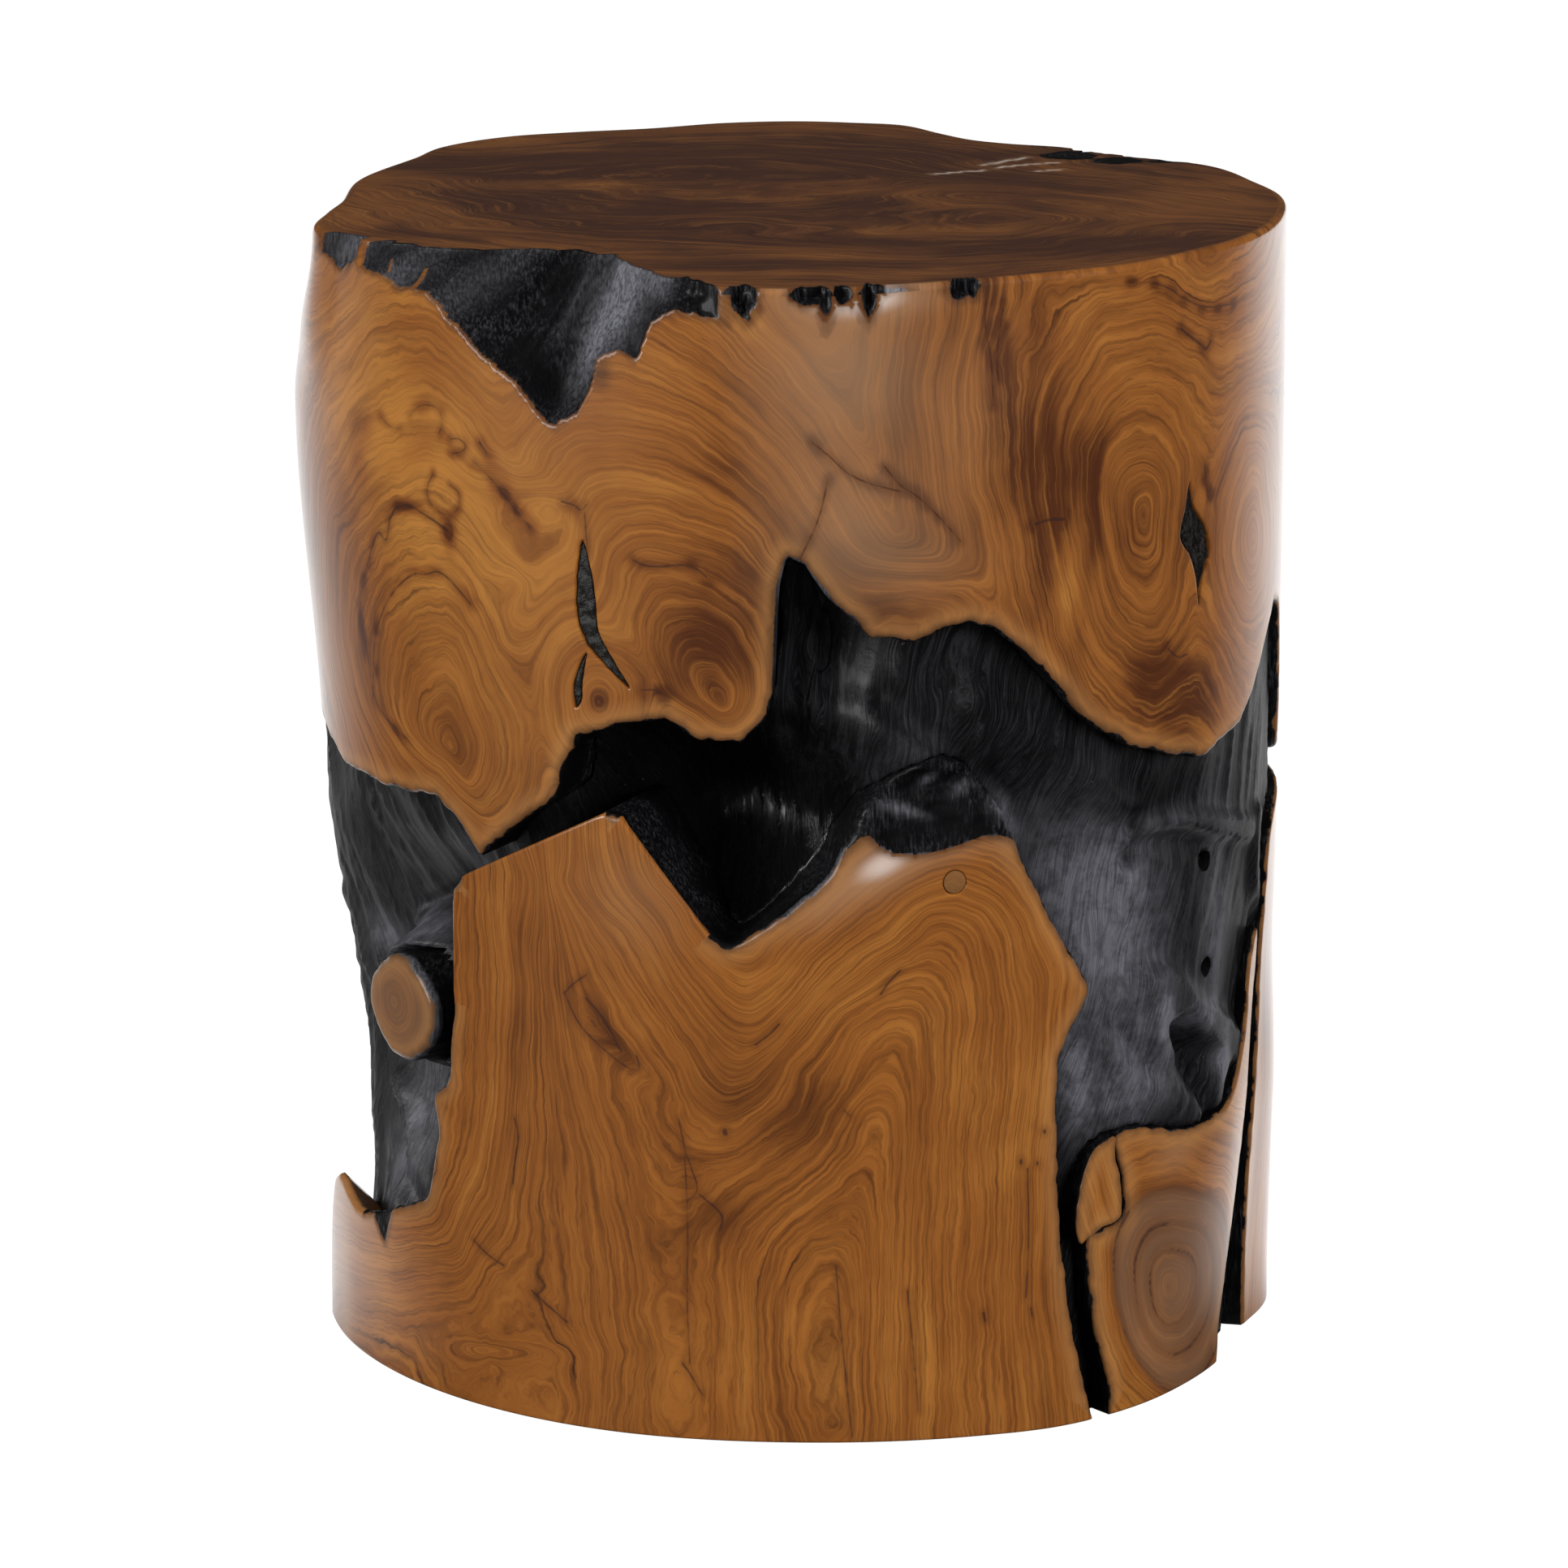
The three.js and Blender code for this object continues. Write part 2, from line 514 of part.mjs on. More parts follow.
// The sawn branch stub that stands out of the root on the left, sanded flush with the drum
const [stubAzimuth, stubShare] = stubPlaceShares;
const stubHeight = stubShare * stoolHeight;
const stubInner = neckRadius - stubBiteDepth;
const outside = drumRadius + overrun;
const stubHoleDiameter = stubDiameter + 2 * clearance;
const stubRod = layInwards(rodProfile(stubDiameter, outside, stubInner), stubAzimuth, stubHeight);
addPiece('branch_stub', stubRod.intersect(drum), woodFinish);
const stubHole = layInwards(rodProfile(stubHoleDiameter, outside, stubInner - clearance), stubAzimuth, stubHeight);
cutFrom(['root_core'], stubHole);

// Upright dowels between the crown's roof and the root's neck
crownDowelAzimuths.forEach((azimuth, i) => {
  const middle = stoolHeight - roofThickness;
  const holeDiameter = crownDowelDiameter + 2 * clearance;
  const holeLength = crownDowelLength + 2 * clearance;
  const dowel = makeUprightRod(crownDowelDiameter, crownDowelLength, azimuth, middle);
  const hole = makeUprightRod(holeDiameter, holeLength, azimuth, middle);
  addPiece(`crown_dowel_${i + 1}`, dowel, dowelFinish);
  cutFrom(['crown_block', 'root_core'], hole);
});

// Hidden dowels between the blocks and the root
for (const { name, block, placeShares } of sideDowelPlaces) {
  const [azimuth, share] = placeShares;
  const height = share * stoolHeight;
  const outer = drumRadiusAt(azimuth, height) - sideDowelCoverDepth;
  const inner = neckRadius - sideDowelBiteDepth;
  const dowel = rodProfile(sideDowelDiameter, outer, inner);
  const hole = rodProfile(sideDowelDiameter + 2 * clearance, outer + clearance, inner - clearance);
  addPiece(name, layInwards(dowel, azimuth, height), dowelFinish);
  cutFrom([block, 'root_core', 'root_right'], layInwards(hole, azimuth, height));
}

// The dowel whose end shows in the front block
const [plugAzimuth, plugShare] = plugPlaceShares;
const plugHeight = plugShare * stoolHeight;
const plugInner = neckRadius - plugBiteDepth;
const plugHoleDiameter = plugDiameter + 2 * clearance;
const plugRod = layInwards(rodProfile(plugDiameter, outside, plugInner), plugAzimuth, plugHeight);
addPiece('front_plug_dowel', plugRod.intersect(drum), dowelFinish);
const plugHole = layInwards(rodProfile(plugHoleDiameter, outside, plugInner - clearance), plugAzimuth, plugHeight);
cutFrom(['front_block', 'root_core', 'root_right'], plugHole);

// Screws at the bottom of the two bored holes, through the right root into the core
screwPlaceShares.forEach(([azimuth, share], i) => {
  const height = share * stoolHeight;
  const outer = rootRadiusAt(azimuth, height) - boreDepth;
  const neck = outer - screwHeadThickness;
  const inner = neckRadius - screwBiteDepth;
  const head = screwHeadDiameter / 2;
  const shank = screwShankDiameter / 2;
  const bore = boreDiameter / 2;
  const pilot = shank + clearance;
  const screw = [[0, outer], [head, outer], [shank, neck], [shank, inner + shank], [0, inner]];
  const hole = [
    [0, outside],
    [bore, outside],
    [bore, outer - clearance],
    [pilot, neck - clearance],
    [pilot, inner - clearance],
    [0, inner - clearance],
  ];
  addPiece(i === 0 ? 'screw_upper' : 'screw_lower', layInwards(screw, azimuth, height), screwFinish);
  cutFrom(['root_right', 'root_core'], layInwards(hole, azimuth, height));
});

// Dark filler in the crown's open checks, flush with its face
const checks = { check_filler_long: longCheckShares, check_filler_short: shortCheckShares, check_filler_eye: eyeCheckShares };
for (const [name, outlineShares] of Object.entries(checks)) {
  const floorRadius = drumRadius - checkDepth;
  const filler = makeRadialPrism(outlineShares, floorRadius).intersect(drum);
  const pocket = makeRadialPrism(grownOutline(outlineShares, clearance), floorRadius - clearance);
  addPiece(name, filler, fillerFinish);
  cutFrom(['crown_block'], pocket);
}

// The scene graph
const stool = new THREE.Group();
stool.name = 'stump_stool';
for (const [name, { solid, finish }] of pieces) {
  const { numProp, vertProperties, triVerts } = solid.getMesh();
  const geometry = new THREE.BufferGeometry();
  geometry.setAttribute('position', new THREE.Float32BufferAttribute(vertProperties, numProp));
  geometry.setIndex([...triVerts]);
  geometry.computeVertexNormals();
  const mesh = new THREE.Mesh(geometry, new THREE.MeshStandardMaterial(finish));
  mesh.name = name;
  stool.add(mesh);
}

export default stool;
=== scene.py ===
# %% [markdown]
# # A drum stool made of a tree's root
# The real stool is built up from pieces of one root. A crown block carries the seat, sawn blocks stand
# round a dark natural root, and the whole is sanded to one drum and lacquered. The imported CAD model
# gives every piece its place. This lesson dresses those pieces with their edges, hollows and grain.

# %% The frame
import json
import math
from itertools import product

import bpy
import numpy as np
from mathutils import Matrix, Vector, geometry, kdtree


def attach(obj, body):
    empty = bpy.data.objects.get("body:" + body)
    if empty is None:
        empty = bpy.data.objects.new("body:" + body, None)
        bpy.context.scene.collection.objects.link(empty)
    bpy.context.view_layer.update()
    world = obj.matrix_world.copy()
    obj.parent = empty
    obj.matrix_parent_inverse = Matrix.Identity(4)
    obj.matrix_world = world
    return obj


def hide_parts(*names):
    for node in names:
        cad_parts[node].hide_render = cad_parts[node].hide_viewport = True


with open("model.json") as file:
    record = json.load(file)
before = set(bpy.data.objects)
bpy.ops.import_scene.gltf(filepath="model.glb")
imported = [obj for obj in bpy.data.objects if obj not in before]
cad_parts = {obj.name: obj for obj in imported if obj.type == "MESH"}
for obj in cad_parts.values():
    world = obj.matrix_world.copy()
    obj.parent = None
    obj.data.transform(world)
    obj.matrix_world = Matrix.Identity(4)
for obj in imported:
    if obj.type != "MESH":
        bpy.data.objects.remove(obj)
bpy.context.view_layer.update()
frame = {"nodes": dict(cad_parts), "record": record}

# %% [markdown]
# ## The camera
# The camera comes first, because places on the wood are easiest to name as picture points, in a
# square picture 1932 points wide. A long lens from three metres away looks 14 degrees down.

# %% Camera
PICTURE = 1932
LENS = 183.4
SENSOR = 36.0
EYE = np.array([-6.4, -3150.0, 1003.0])
PITCH = math.radians(14.0)
MM = 0.001

camera_data = bpy.data.cameras.new("camera")
camera_data.lens = LENS
camera_data.sensor_width = SENSOR
camera_data.clip_end = 100
camera = bpy.data.objects.new("camera", camera_data)
camera.location = EYE * MM
camera.rotation_euler = (math.pi / 2 - PITCH, 0, 0)
bpy.context.collection.objects.link(camera)
bpy.context.scene.camera = camera
print("camera at", tuple(camera.location))

# %% [markdown]
# ## The drum
# Sanding gave the stool one outer surface. It is described here as the CAD part describes it, by four
# plans at four heights, so that each visual piece lies where its solid lies. Lengths are millimetres,
# as a workshop writes them, and the meshes are made in metres. Azimuth 0 faces the camera.

# %% Drum
HEIGHT = 457.0
RADIUS = 194.0
ARC = math.radians(RADIUS)
SANDING = 0.15
# The drum is a little fuller low on the right: azimuth, half width and mm, and the shares where it fades
FULLER = (86, 26, 3.4)
FULLER_SHARES = (0.36, 0.2)
PLAN_HEIGHTS = [0, 0.5, 0.83, 1]
BASE_PLAN = [
    (-180, 0.99), (-150, 0.985), (-120, 0.99), (-83, 0.996), (-60, 0.988), (-25, 0.985), (0, 0.98),
    (20, 1.003), (31, 1.023), (42, 1.015), (53, 0.992), (64, 0.968), (76, 0.94), (88, 0.975),
    (105, 0.985), (130, 0.98), (155, 0.985),
]
WAIST_PLAN = [
    (-180, 1), (-135, 0.99), (-90, 0.995), (-45, 0.99), (0, 0.985), (30, 0.985), (60, 0.99), (90, 1),
    (135, 0.99),
]
BELLY_PLAN = [
    (-180, 1.03), (-150, 1.04), (-120, 1.04), (-90, 1.045), (-60, 1.02), (-30, 1), (0, 0.99),
    (30, 0.965), (60, 0.985), (90, 1.003), (120, 1), (150, 0.95),
]
SEAT_PLAN = [
    (-180, 1.044), (-171, 1.034), (-161, 1.002), (-151, 1.024), (-143, 1.05), (-132, 1.04),
    (-124, 0.994), (-107, 0.97), (-92, 0.948), (-83, 0.98), (-74, 1.025), (-66, 1.01), (-50, 1),
    (-30, 0.99), (-12, 0.98), (-2, 0.993), (11, 0.966), (21, 0.95), (32, 0.95), (43, 0.97), (55, 0.973),
    (66, 0.988), (83, 0.997), (96, 1.004), (105, 0.99), (118, 0.984), (125, 0.94), (133, 0.905),
    (141, 0.9), (148, 0.873), (155, 0.88), (161, 0.935), (167, 1.015), (173, 1.03),
]


def round_table(rows, smooth=True):
    """A table round the axis as a function of the azimuth."""
    rows = np.array([row[:2] for row in rows], float)
    at = np.concatenate([rows[:, 0] - 360, rows[:, 0], rows[:, 0] + 360])
    value = np.tile(rows[:, 1], 3)
    keep = np.append(True, np.diff(at) > 0)
    at, value = at[keep], value[keep]
    slope = np.diff(value) / np.diff(at)

    def read(azimuth):
        azimuth = np.asarray(azimuth, float)
        i = np.clip(np.searchsorted(at, azimuth, side="right"), 2, len(at) - 2)
        width = at[i] - at[i - 1]
        t = (azimuth - at[i - 1]) / width
        if not smooth:
            return value[i - 1] + t * (value[i] - value[i - 1])
        leave = 0.5 * (slope[i - 2] + slope[i - 1]) * width
        arrive = 0.5 * (slope[i - 1] + slope[i]) * width
        rise = t * t * (3 - 2 * t)
        bend = t * (1 - t)
        return value[i - 1] * (1 - rise) + value[i] * rise + bend * ((1 - t) * leave - t * arrive)

    return read


def smoothstep(low, high, value):
    """A smooth step from 0 at low to 1 at high."""
    share = np.clip((value - low) / (high - low), 0, 1)
    return share * share * (3 - 2 * share)


def between(start, full, fade, end, value):
    """1 from full to fade, with smooth steps down to 0 at start and at end."""
    return smoothstep(start, full, value) * smoothstep(end, fade, value)


def bump(azimuth, share, middle, level, wide, tall):
    """A soft bump on the drum, 1 at its middle."""
    return np.exp(-((azimuth - middle) / wide) ** 2 - ((share - level) / tall) ** 2)


plans = [round_table(rows) for rows in (BASE_PLAN, WAIST_PLAN, BELLY_PLAN, SEAT_PLAN)]


def drum_radius(azimuth, height):
    """Radius of the sanded drum, blended from the plan below to the plan above."""
    share = np.clip(np.asarray(height, float) / HEIGHT, 0, 1)
    levels = [plan(azimuth) for plan in plans]
    radius = levels[0]
    for below, above, low, high in zip(levels, levels[1:], PLAN_HEIGHTS, PLAN_HEIGHTS[1:]):
        radius = np.where(share > low, below + (above - below) * smoothstep(low, high, share), radius)
    middle, wide, swell = FULLER
    fuller = swell * np.exp(-((np.asarray(azimuth, float) - middle) / wide) ** 2)
    return RADIUS * radius - SANDING + fuller * smoothstep(*FULLER_SHARES, share)


print("drum radius at the front, mm:", np.round(drum_radius(0, np.array([0, 230, 457])), 1))

# %% [markdown]
# ## Places and noise
# Two small tools serve every piece. The first casts picture points, lines, eyes and spots on to the
# drum or the flat seat. The second is a smooth repeatable noise, for ragged edges and a lumpy root.

# %% Places
def cast(points, seat=False, inset=0.0):
    """Picture points on the unrolled drum as (arc, height), or on the seat as (x, y), in mm."""
    points = np.atleast_2d(np.array(points, float))
    focal = LENS / SENSOR * PICTURE
    across = (points[:, 0] - PICTURE / 2) / focal
    up = (PICTURE / 2 - points[:, 1]) / focal
    ray = np.stack([
        across,
        math.cos(PITCH) + up * math.sin(PITCH),
        -math.sin(PITCH) + up * math.cos(PITCH),
    ], 1)
    if seat:
        reach = (HEIGHT - EYE[2]) / ray[:, 2]
        return (EYE + ray * reach[:, None])[:, :2]
    radius = np.full(len(points), RADIUS)
    for _ in range(8):
        a = ray[:, 0] ** 2 + ray[:, 1] ** 2
        b = EYE[0] * ray[:, 0] + EYE[1] * ray[:, 1]
        c = EYE[0] ** 2 + EYE[1] ** 2 - radius ** 2
        reach = (-b - np.sqrt(np.maximum(b * b - a * c, 0))) / a
        hit = EYE + ray * reach[:, None]
        azimuth = np.degrees(np.arctan2(hit[:, 0], -hit[:, 1]))
        radius = drum_radius(azimuth, hit[:, 2]) - inset
    return np.stack([azimuth * ARC, hit[:, 2]], 1)


def curved(line, times=2):
    """A line of points with its corners cut, so that it bends softly."""
    line = np.array(line, float)
    for _ in range(times):
        near = line[:-1] * 0.75 + line[1:] * 0.25
        far = line[:-1] * 0.25 + line[1:] * 0.75
        line = np.concatenate([line[:1], np.stack([near, far], 1).reshape(-1, 2), line[-1:]])
    return line


def cast_lines(rows, soft=False, seat=False):
    """Rows of a number and a line of picture points, with the line cast on to the wood."""
    return [(value, cast(curved(line) if soft else line, seat)) for value, line in rows]


def cast_eyes(rows):
    """Rows of an eye's middle, the value on its rim and its rim, cast on to the wood."""
    return [(cast([middle])[0], cast(rim), value) for middle, value, rim in rows]


def soft_spots(places, spots, on=cast):
    """Broad soft spots: picture point, half width and height in mm, turn in degrees and strength."""
    total = np.zeros(len(places))
    for place, wide, tall, turn, strength in spots:
        x, y = (places - on([place])[0]).T
        c, s = math.cos(math.radians(turn)), math.sin(math.radians(turn))
        total += strength * np.exp(-(((x * c + y * s) / wide) ** 2 + ((y * c - x * s) / tall) ** 2))
    return total


def lumps(points, size, seed=0):
    """Smooth value noise from -1 to 1. The size of its lumps may differ by direction."""
    points = np.asarray(points, float) / size
    cell = np.floor(points).astype(np.int64)
    part = points - cell
    part = part * part * part * (part * (part * 6 - 15) + 10)
    total = np.zeros(len(points))
    for corner in product((0, 1), repeat=points.shape[1]):
        key = np.full(len(points), seed * 7919 + 17, np.int64)
        weight = np.ones(len(points))
        for axis, side in enumerate(corner):
            key = (key * 31 + (cell[:, axis] + side) * (73856093, 19349663, 83492791)[axis]) & 0xFFFFFFFF
            key = ((key ^ (key >> 15)) * 2246822519) & 0xFFFFFFFF
            weight = weight * (part[:, axis] if side else 1 - part[:, axis])
        key = key ^ (key >> 13)
        total += weight * ((key & 0xFFFF) / 32767.5 - 1)
    return total


def rough(points, size, seed=0, octaves=3):
    """Lumps with smaller lumps on them."""
    total = np.zeros(len(points))
    share = 1.0
    for octave in range(octaves):
        total += share * lumps(points, np.asarray(size, float) / 2 ** octave, seed + octave)
        share *= 0.5
    return total


print("front plug is at arc, height:", np.round(cast([(1182, 1090)]), 1))

# %% [markdown]
# ## Outlines
# A sawn or natural block shows one sanded face with a free outline. The outline is laid on the
# unrolled drum, as azimuths and shares of the height. Its sides are straight where it is sawn, and
# curved and a little ragged where it is the root's own. Joining primitives couldn't follow such an
# outline, so the meshes are made in code.

# %% Outlines
OUTLINE_STEP = 1.2


def outline(rows, step=OUTLINE_STEP, wobble=0.5):
    """An outline on the unrolled drum. A row that says sawn starts a straight side."""
    corners = np.array([(row[0] * ARC, row[1] * HEIGHT) for row in rows])
    sawn = [len(row) > 2 for row in rows]
    count = len(rows)
    points, flags = [], []
    for i in range(count):
        start, end = corners[i], corners[(i + 1) % count]
        steps = max(2, math.ceil(np.linalg.norm(end - start) / step))
        t = (np.arange(steps) / steps)[:, None]
        if sawn[i]:
            run = start + t * (end - start)
        else:
            before = start if sawn[i - 1] else corners[i - 1]
            after = end if sawn[(i + 1) % count] else corners[(i + 2) % count]
            leave, arrive = (end - before) / 2, (after - start) / 2
            rise = t * t * (3 - 2 * t)
            run = start + rise * (end - start) + t * (1 - t) * ((1 - t) * leave - t * arrive)
            fade = smoothstep(0, 6, run[:, 1]) * wobble
            run = run + fade[:, None] * np.stack([rough(run, 7, 3), rough(run, 7, 9)], 1)
        points.append(run)
        flags += [sawn[i]] * steps
    points = np.concatenate(points)
    points[:, 1] = np.maximum(points[:, 1], 0)
    flags = np.array(flags)
    x, y = points.T
    if np.sum(x * np.roll(y, -1) - y * np.roll(x, -1)) < 0:
        points, flags = points[::-1], flags[::-1]
    return points, flags


def distance_to(points, loop, closed=True, points_only=False):
    """Distance from each point to a line of points, and the nearest of those points."""
    tree = kdtree.KDTree(len(loop))
    for i, (x, y) in enumerate(loop):
        tree.insert((x, y, 0), i)
    tree.balance()
    nearest = np.array([tree.find((x, y, 0))[1] for x, y in points], int)
    best = np.linalg.norm(points - np.asarray(loop)[nearest], axis=1)
    if points_only:
        return best, nearest
    for shift in (-1, 0):
        first, second = nearest + shift, nearest + shift + 1
        if closed:
            first, second = first % len(loop), second % len(loop)
        else:
            first, second = np.clip(first, 0, len(loop) - 1), np.clip(second, 0, len(loop) - 1)
        start, side = loop[first], loop[second] - loop[first]
        t = np.sum((points - start) * side, 1) / np.maximum(np.sum(side * side, 1), 1e-9)
        foot = start + np.clip(t, 0, 1)[:, None] * side
        best = np.minimum(best, np.linalg.norm(points - foot, axis=1))
    return best, nearest


def inside(points, loop):
    """Whether each point lies inside a closed line."""
    x, y = points.T
    result = np.zeros(len(points), bool)
    for (x0, y0), (x1, y1) in zip(loop, np.roll(loop, -1, 0)):
        if y0 != y1:
            crosses = (y0 > y) != (y1 > y)
            result ^= crosses & (x < (x1 - x0) * (y - y0) / (y1 - y0) + x0)
    return result


print("outline points are", OUTLINE_STEP, "mm apart")

# %% [markdown]
# ## Nets
# A net has a row of points on each outline, rows close inside it for the rounded rim, an even fill
# and extra points along thin marks. Triangles join them all.

# %% Nets
def within(points, loops):
    """Whether each point lies inside the first line and outside the others."""
    result = inside(points, loops[0])
    for loop in loops[1:]:
        result &= ~inside(points, loop)
    return result


def gap_to(points, loops):
    """Distance from each point to the nearest of some closed lines."""
    return np.min([distance_to(points, loop)[0] for loop in loops], 0)


def grid(low, high, spacing):
    """Points in staggered rows over a rectangle."""
    rows = np.arange(low[1], high[1], spacing * math.sqrt(3) / 2)
    columns = np.arange(low[0], high[0], spacing)
    x, y = np.meshgrid(columns, rows)
    x = x + (np.arange(len(rows)) % 2)[:, None] * spacing / 2
    return np.stack([x.ravel(), y.ravel()], 1)


def triangulate(points, loops):
    """Triangles over the points, inside the first loop and outside the others."""
    first = np.cumsum([0] + [len(loop) for loop in loops])
    edges = []
    for start, loop in zip(first, loops):
        edges += [(start + i, start + (i + 1) % len(loop)) for i in range(len(loop))]
    edges = [(int(a), int(b)) for a, b in edges]
    face = list(range(len(loops[0])))
    found = geometry.delaunay_2d_cdt([Vector(p) for p in points], edges, [face], 1, 1e-7, True)
    triangles = np.array(found[2], int)
    if len(found[0]) != len(points):
        raise ValueError("the net gained points")
    return triangles[within(points[triangles].mean(1), loops)]


RIM_RINGS = (0.3, 0.8, 1.5, 2.4)
LINE_CLEARANCE = 0.8


def along_lines(lines, step=1.1, aside=0.75):
    """Points on thin marks and close beside them, so that the marks stay crisp."""
    points = []
    for _, line in lines:
        line = np.array(line, float)
        for start, end in zip(line[:-1], line[1:]):
            side = end - start
            length = max(np.linalg.norm(side), 1e-6)
            normal = np.array([-side[1], side[0]]) / length * aside
            run = start + side * (np.arange(0, length, step) / length)[:, None]
            points += [run, run + normal, run - normal]
    return np.concatenate(points)


def net(loops, spacing, extra=None, lines=()):
    """A net of points over an outline with holes, denser at the rim and along thin marks."""
    rings, needed = [], []
    for loop in loops:
        tangent = np.roll(loop, -1, 0) - np.roll(loop, 1, 0)
        tangent /= np.maximum(np.linalg.norm(tangent, axis=1), 1e-9)[:, None]
        inward = np.stack([-tangent[:, 1], tangent[:, 0]], 1)
        for depth in RIM_RINGS:
            rings.append(loop + inward * depth)
            needed.append(np.full(len(loop), 0.9 * depth))
    fill = grid(loops[0].min(0), loops[0].max(0), spacing) if extra is None else extra
    candidates = np.concatenate(rings + [fill])
    needed = np.concatenate(needed + [np.full(len(fill), RIM_RINGS[-1] + 0.4 * spacing)])
    keep = within(candidates, loops)
    candidates, needed = candidates[keep], needed[keep]
    candidates = candidates[gap_to(candidates, loops) >= needed]
    if len(lines):
        marked = along_lines(lines)
        marked = marked[within(marked, loops) & (gap_to(marked, loops) > 1.0)]
        clear = distance_to(candidates, marked, points_only=True)[0] > LINE_CLEARANCE
        candidates = np.concatenate([candidates[clear], marked])
    points = np.concatenate(loops + [candidates])
    return points, triangulate(points, loops)


def wrap(arc, height, radius):
    """Places on the unrolled drum as places in space."""
    angle = np.asarray(arc) / RADIUS
    return np.stack(np.broadcast_arrays(radius * np.sin(angle), -radius * np.cos(angle), height), 1)


print("net ready, rim rings at", RIM_RINGS)

# %% [markdown]
# ## Grain
# The figure of the wood is drawn by growth rings cut by the sanded face. Each block gets a field that
# says how far across the grain a point lies. A thin plate is bent through a few strokes that lie along
# the grain, and eyes, where a side root was cut across, press rings into it. The materials later turn
# this field into lines and fibres.

# %% Grain field
STROKE_STEP = 14
PLATE_UNIT = 100
AT_ONCE = 20000


def plate(strokes, stiffness=2.0):
    """A thin plate through strokes of (value across the grain, places)."""
    places, values = [], []
    for value, line in strokes:
        line = np.array(line, float)
        for start, end in zip(line[:-1], line[1:]):
            steps = max(1, int(np.linalg.norm(end - start) // STROKE_STEP))
            for i in range(steps):
                places.append(start + (end - start) * i / steps)
                values.append(value)
        places.append(line[-1])
        values.append(value)
    places = np.array(places) / PLATE_UNIT
    values = np.array(values, float)

    def bend(squared):
        return 0.5 * squared * np.log(np.maximum(squared, 1e-9))

    count = len(places)
    gaps = ((places[:, None] - places[None]) ** 2).sum(2)
    matrix = np.zeros((count + 3, count + 3))
    matrix[:count, :count] = bend(gaps) + np.eye(count) * stiffness * 1e-3
    matrix[:count, count] = matrix[count, :count] = 1
    matrix[:count, count + 1:] = places
    matrix[count + 1:, :count] = places.T
    weights = np.linalg.solve(matrix, np.concatenate([values, np.zeros(3)]))

    def read(points):
        points = np.asarray(points, float) / PLATE_UNIT
        result = weights[count] + points @ weights[count + 1:]
        for first in range(0, len(points), AT_ONCE):
            part = points[first:first + AT_ONCE]
            squared = ((part[:, None] - places[None]) ** 2).sum(2)
            result[first:first + AT_ONCE] += bend(squared) @ weights[:count]
        return result

    return read


def eye(points, middle, rim, value):
    """Rings round an eye: 0 at its middle and the given value on its rim."""
    middle, rim = np.array(middle, float), np.array(rim, float)
    spoke = rim - middle
    angle = np.degrees(np.arctan2(spoke[:, 1], spoke[:, 0]))
    order = np.argsort(angle)
    reach = round_table(np.stack([angle[order], np.linalg.norm(spoke, axis=1)[order]], 1))
    offset = points - middle
    turned = np.degrees(np.arctan2(offset[:, 1], offset[:, 0]))
    return value * np.linalg.norm(offset, axis=1) / np.maximum(reach(turned), 1)


def lower_of(fields, blend=4.0):
    """The lowest of several fields, with the creases between them smoothed."""
    fields = np.array(fields)
    low = fields.min(0)
    return low - blend * np.log(np.exp(-(fields - low) / blend).sum(0))


def polygon_depth(points, polygon):
    """How far each point lies inside a polygon, less than 0 outside it."""
    polygon = np.array(polygon, float)
    best = np.full(len(points), 1e9)
    for start, end in zip(polygon, np.roll(polygon, -1, 0)):
        side = end - start
        t = np.clip((points - start) @ side / max(side @ side, 1e-9), 0, 1)
        best = np.minimum(best, np.linalg.norm(points - start - t[:, None] * side, axis=1))
    return np.where(inside(points, polygon), best, -best)


def near_lines(points, lines, reach=8.0):
    """Distance to the nearest of some thin marks, capped."""
    best = np.full(len(points), reach)
    for width, line in lines:
        line = np.array(line, float)
        low, high = line.min(0) - reach, line.max(0) + reach
        chosen = np.all((points > low) & (points < high), axis=1)
        part = points[chosen]
        gap = np.full(len(part), reach)
        for start, end in zip(line[:-1], line[1:]):
            side = end - start
            t = np.clip((part - start) @ side / max(side @ side, 1e-9), 0, 1)
            gap = np.minimum(gap, np.linalg.norm(part - start - t[:, None] * side, axis=1))
        best[chosen] = np.minimum(best[chosen], gap - width)
    return best


# %% [markdown]
# ## From arrays to a mesh
# Every piece ends as one closed mesh at the origin, with its place in its points, and carries what
# its finish needs as point attributes: grain (across the grain), char (how far inside the burnt
# parts), border (distance to the natural edge), tone (darker or lighter), a pale mark (silvery
# wood, worn char and scratches, and also painted sheen and painted highlights) and vein (distance to
# a thin dark seam). A shell collects points, attributes and triangles ring by ring.

# %% Mesh maker
MARKS = ("grain", "char", "border", "tone", "pale", "vein")
# Values of char well outside and inside the burnt parts, of border and of vein far from any
BARE, SOOT, FAR, CLEAR = -60.0, 6.0, 60.0, 8.0
WALL_STEPS = (1.5, 5, 13, 28)
WALL_GRAIN = 0.35
BACK_SPACING = 9.0
SOLE = 1.5


def marked(grain, char=BARE, tone=0.0, pale=0.0, vein=CLEAR, border=FAR):
    """The attributes of some places, plain unburnt wood where nothing else is said."""
    return dict(zip(MARKS, (grain, char, border, tone, pale, vein)))


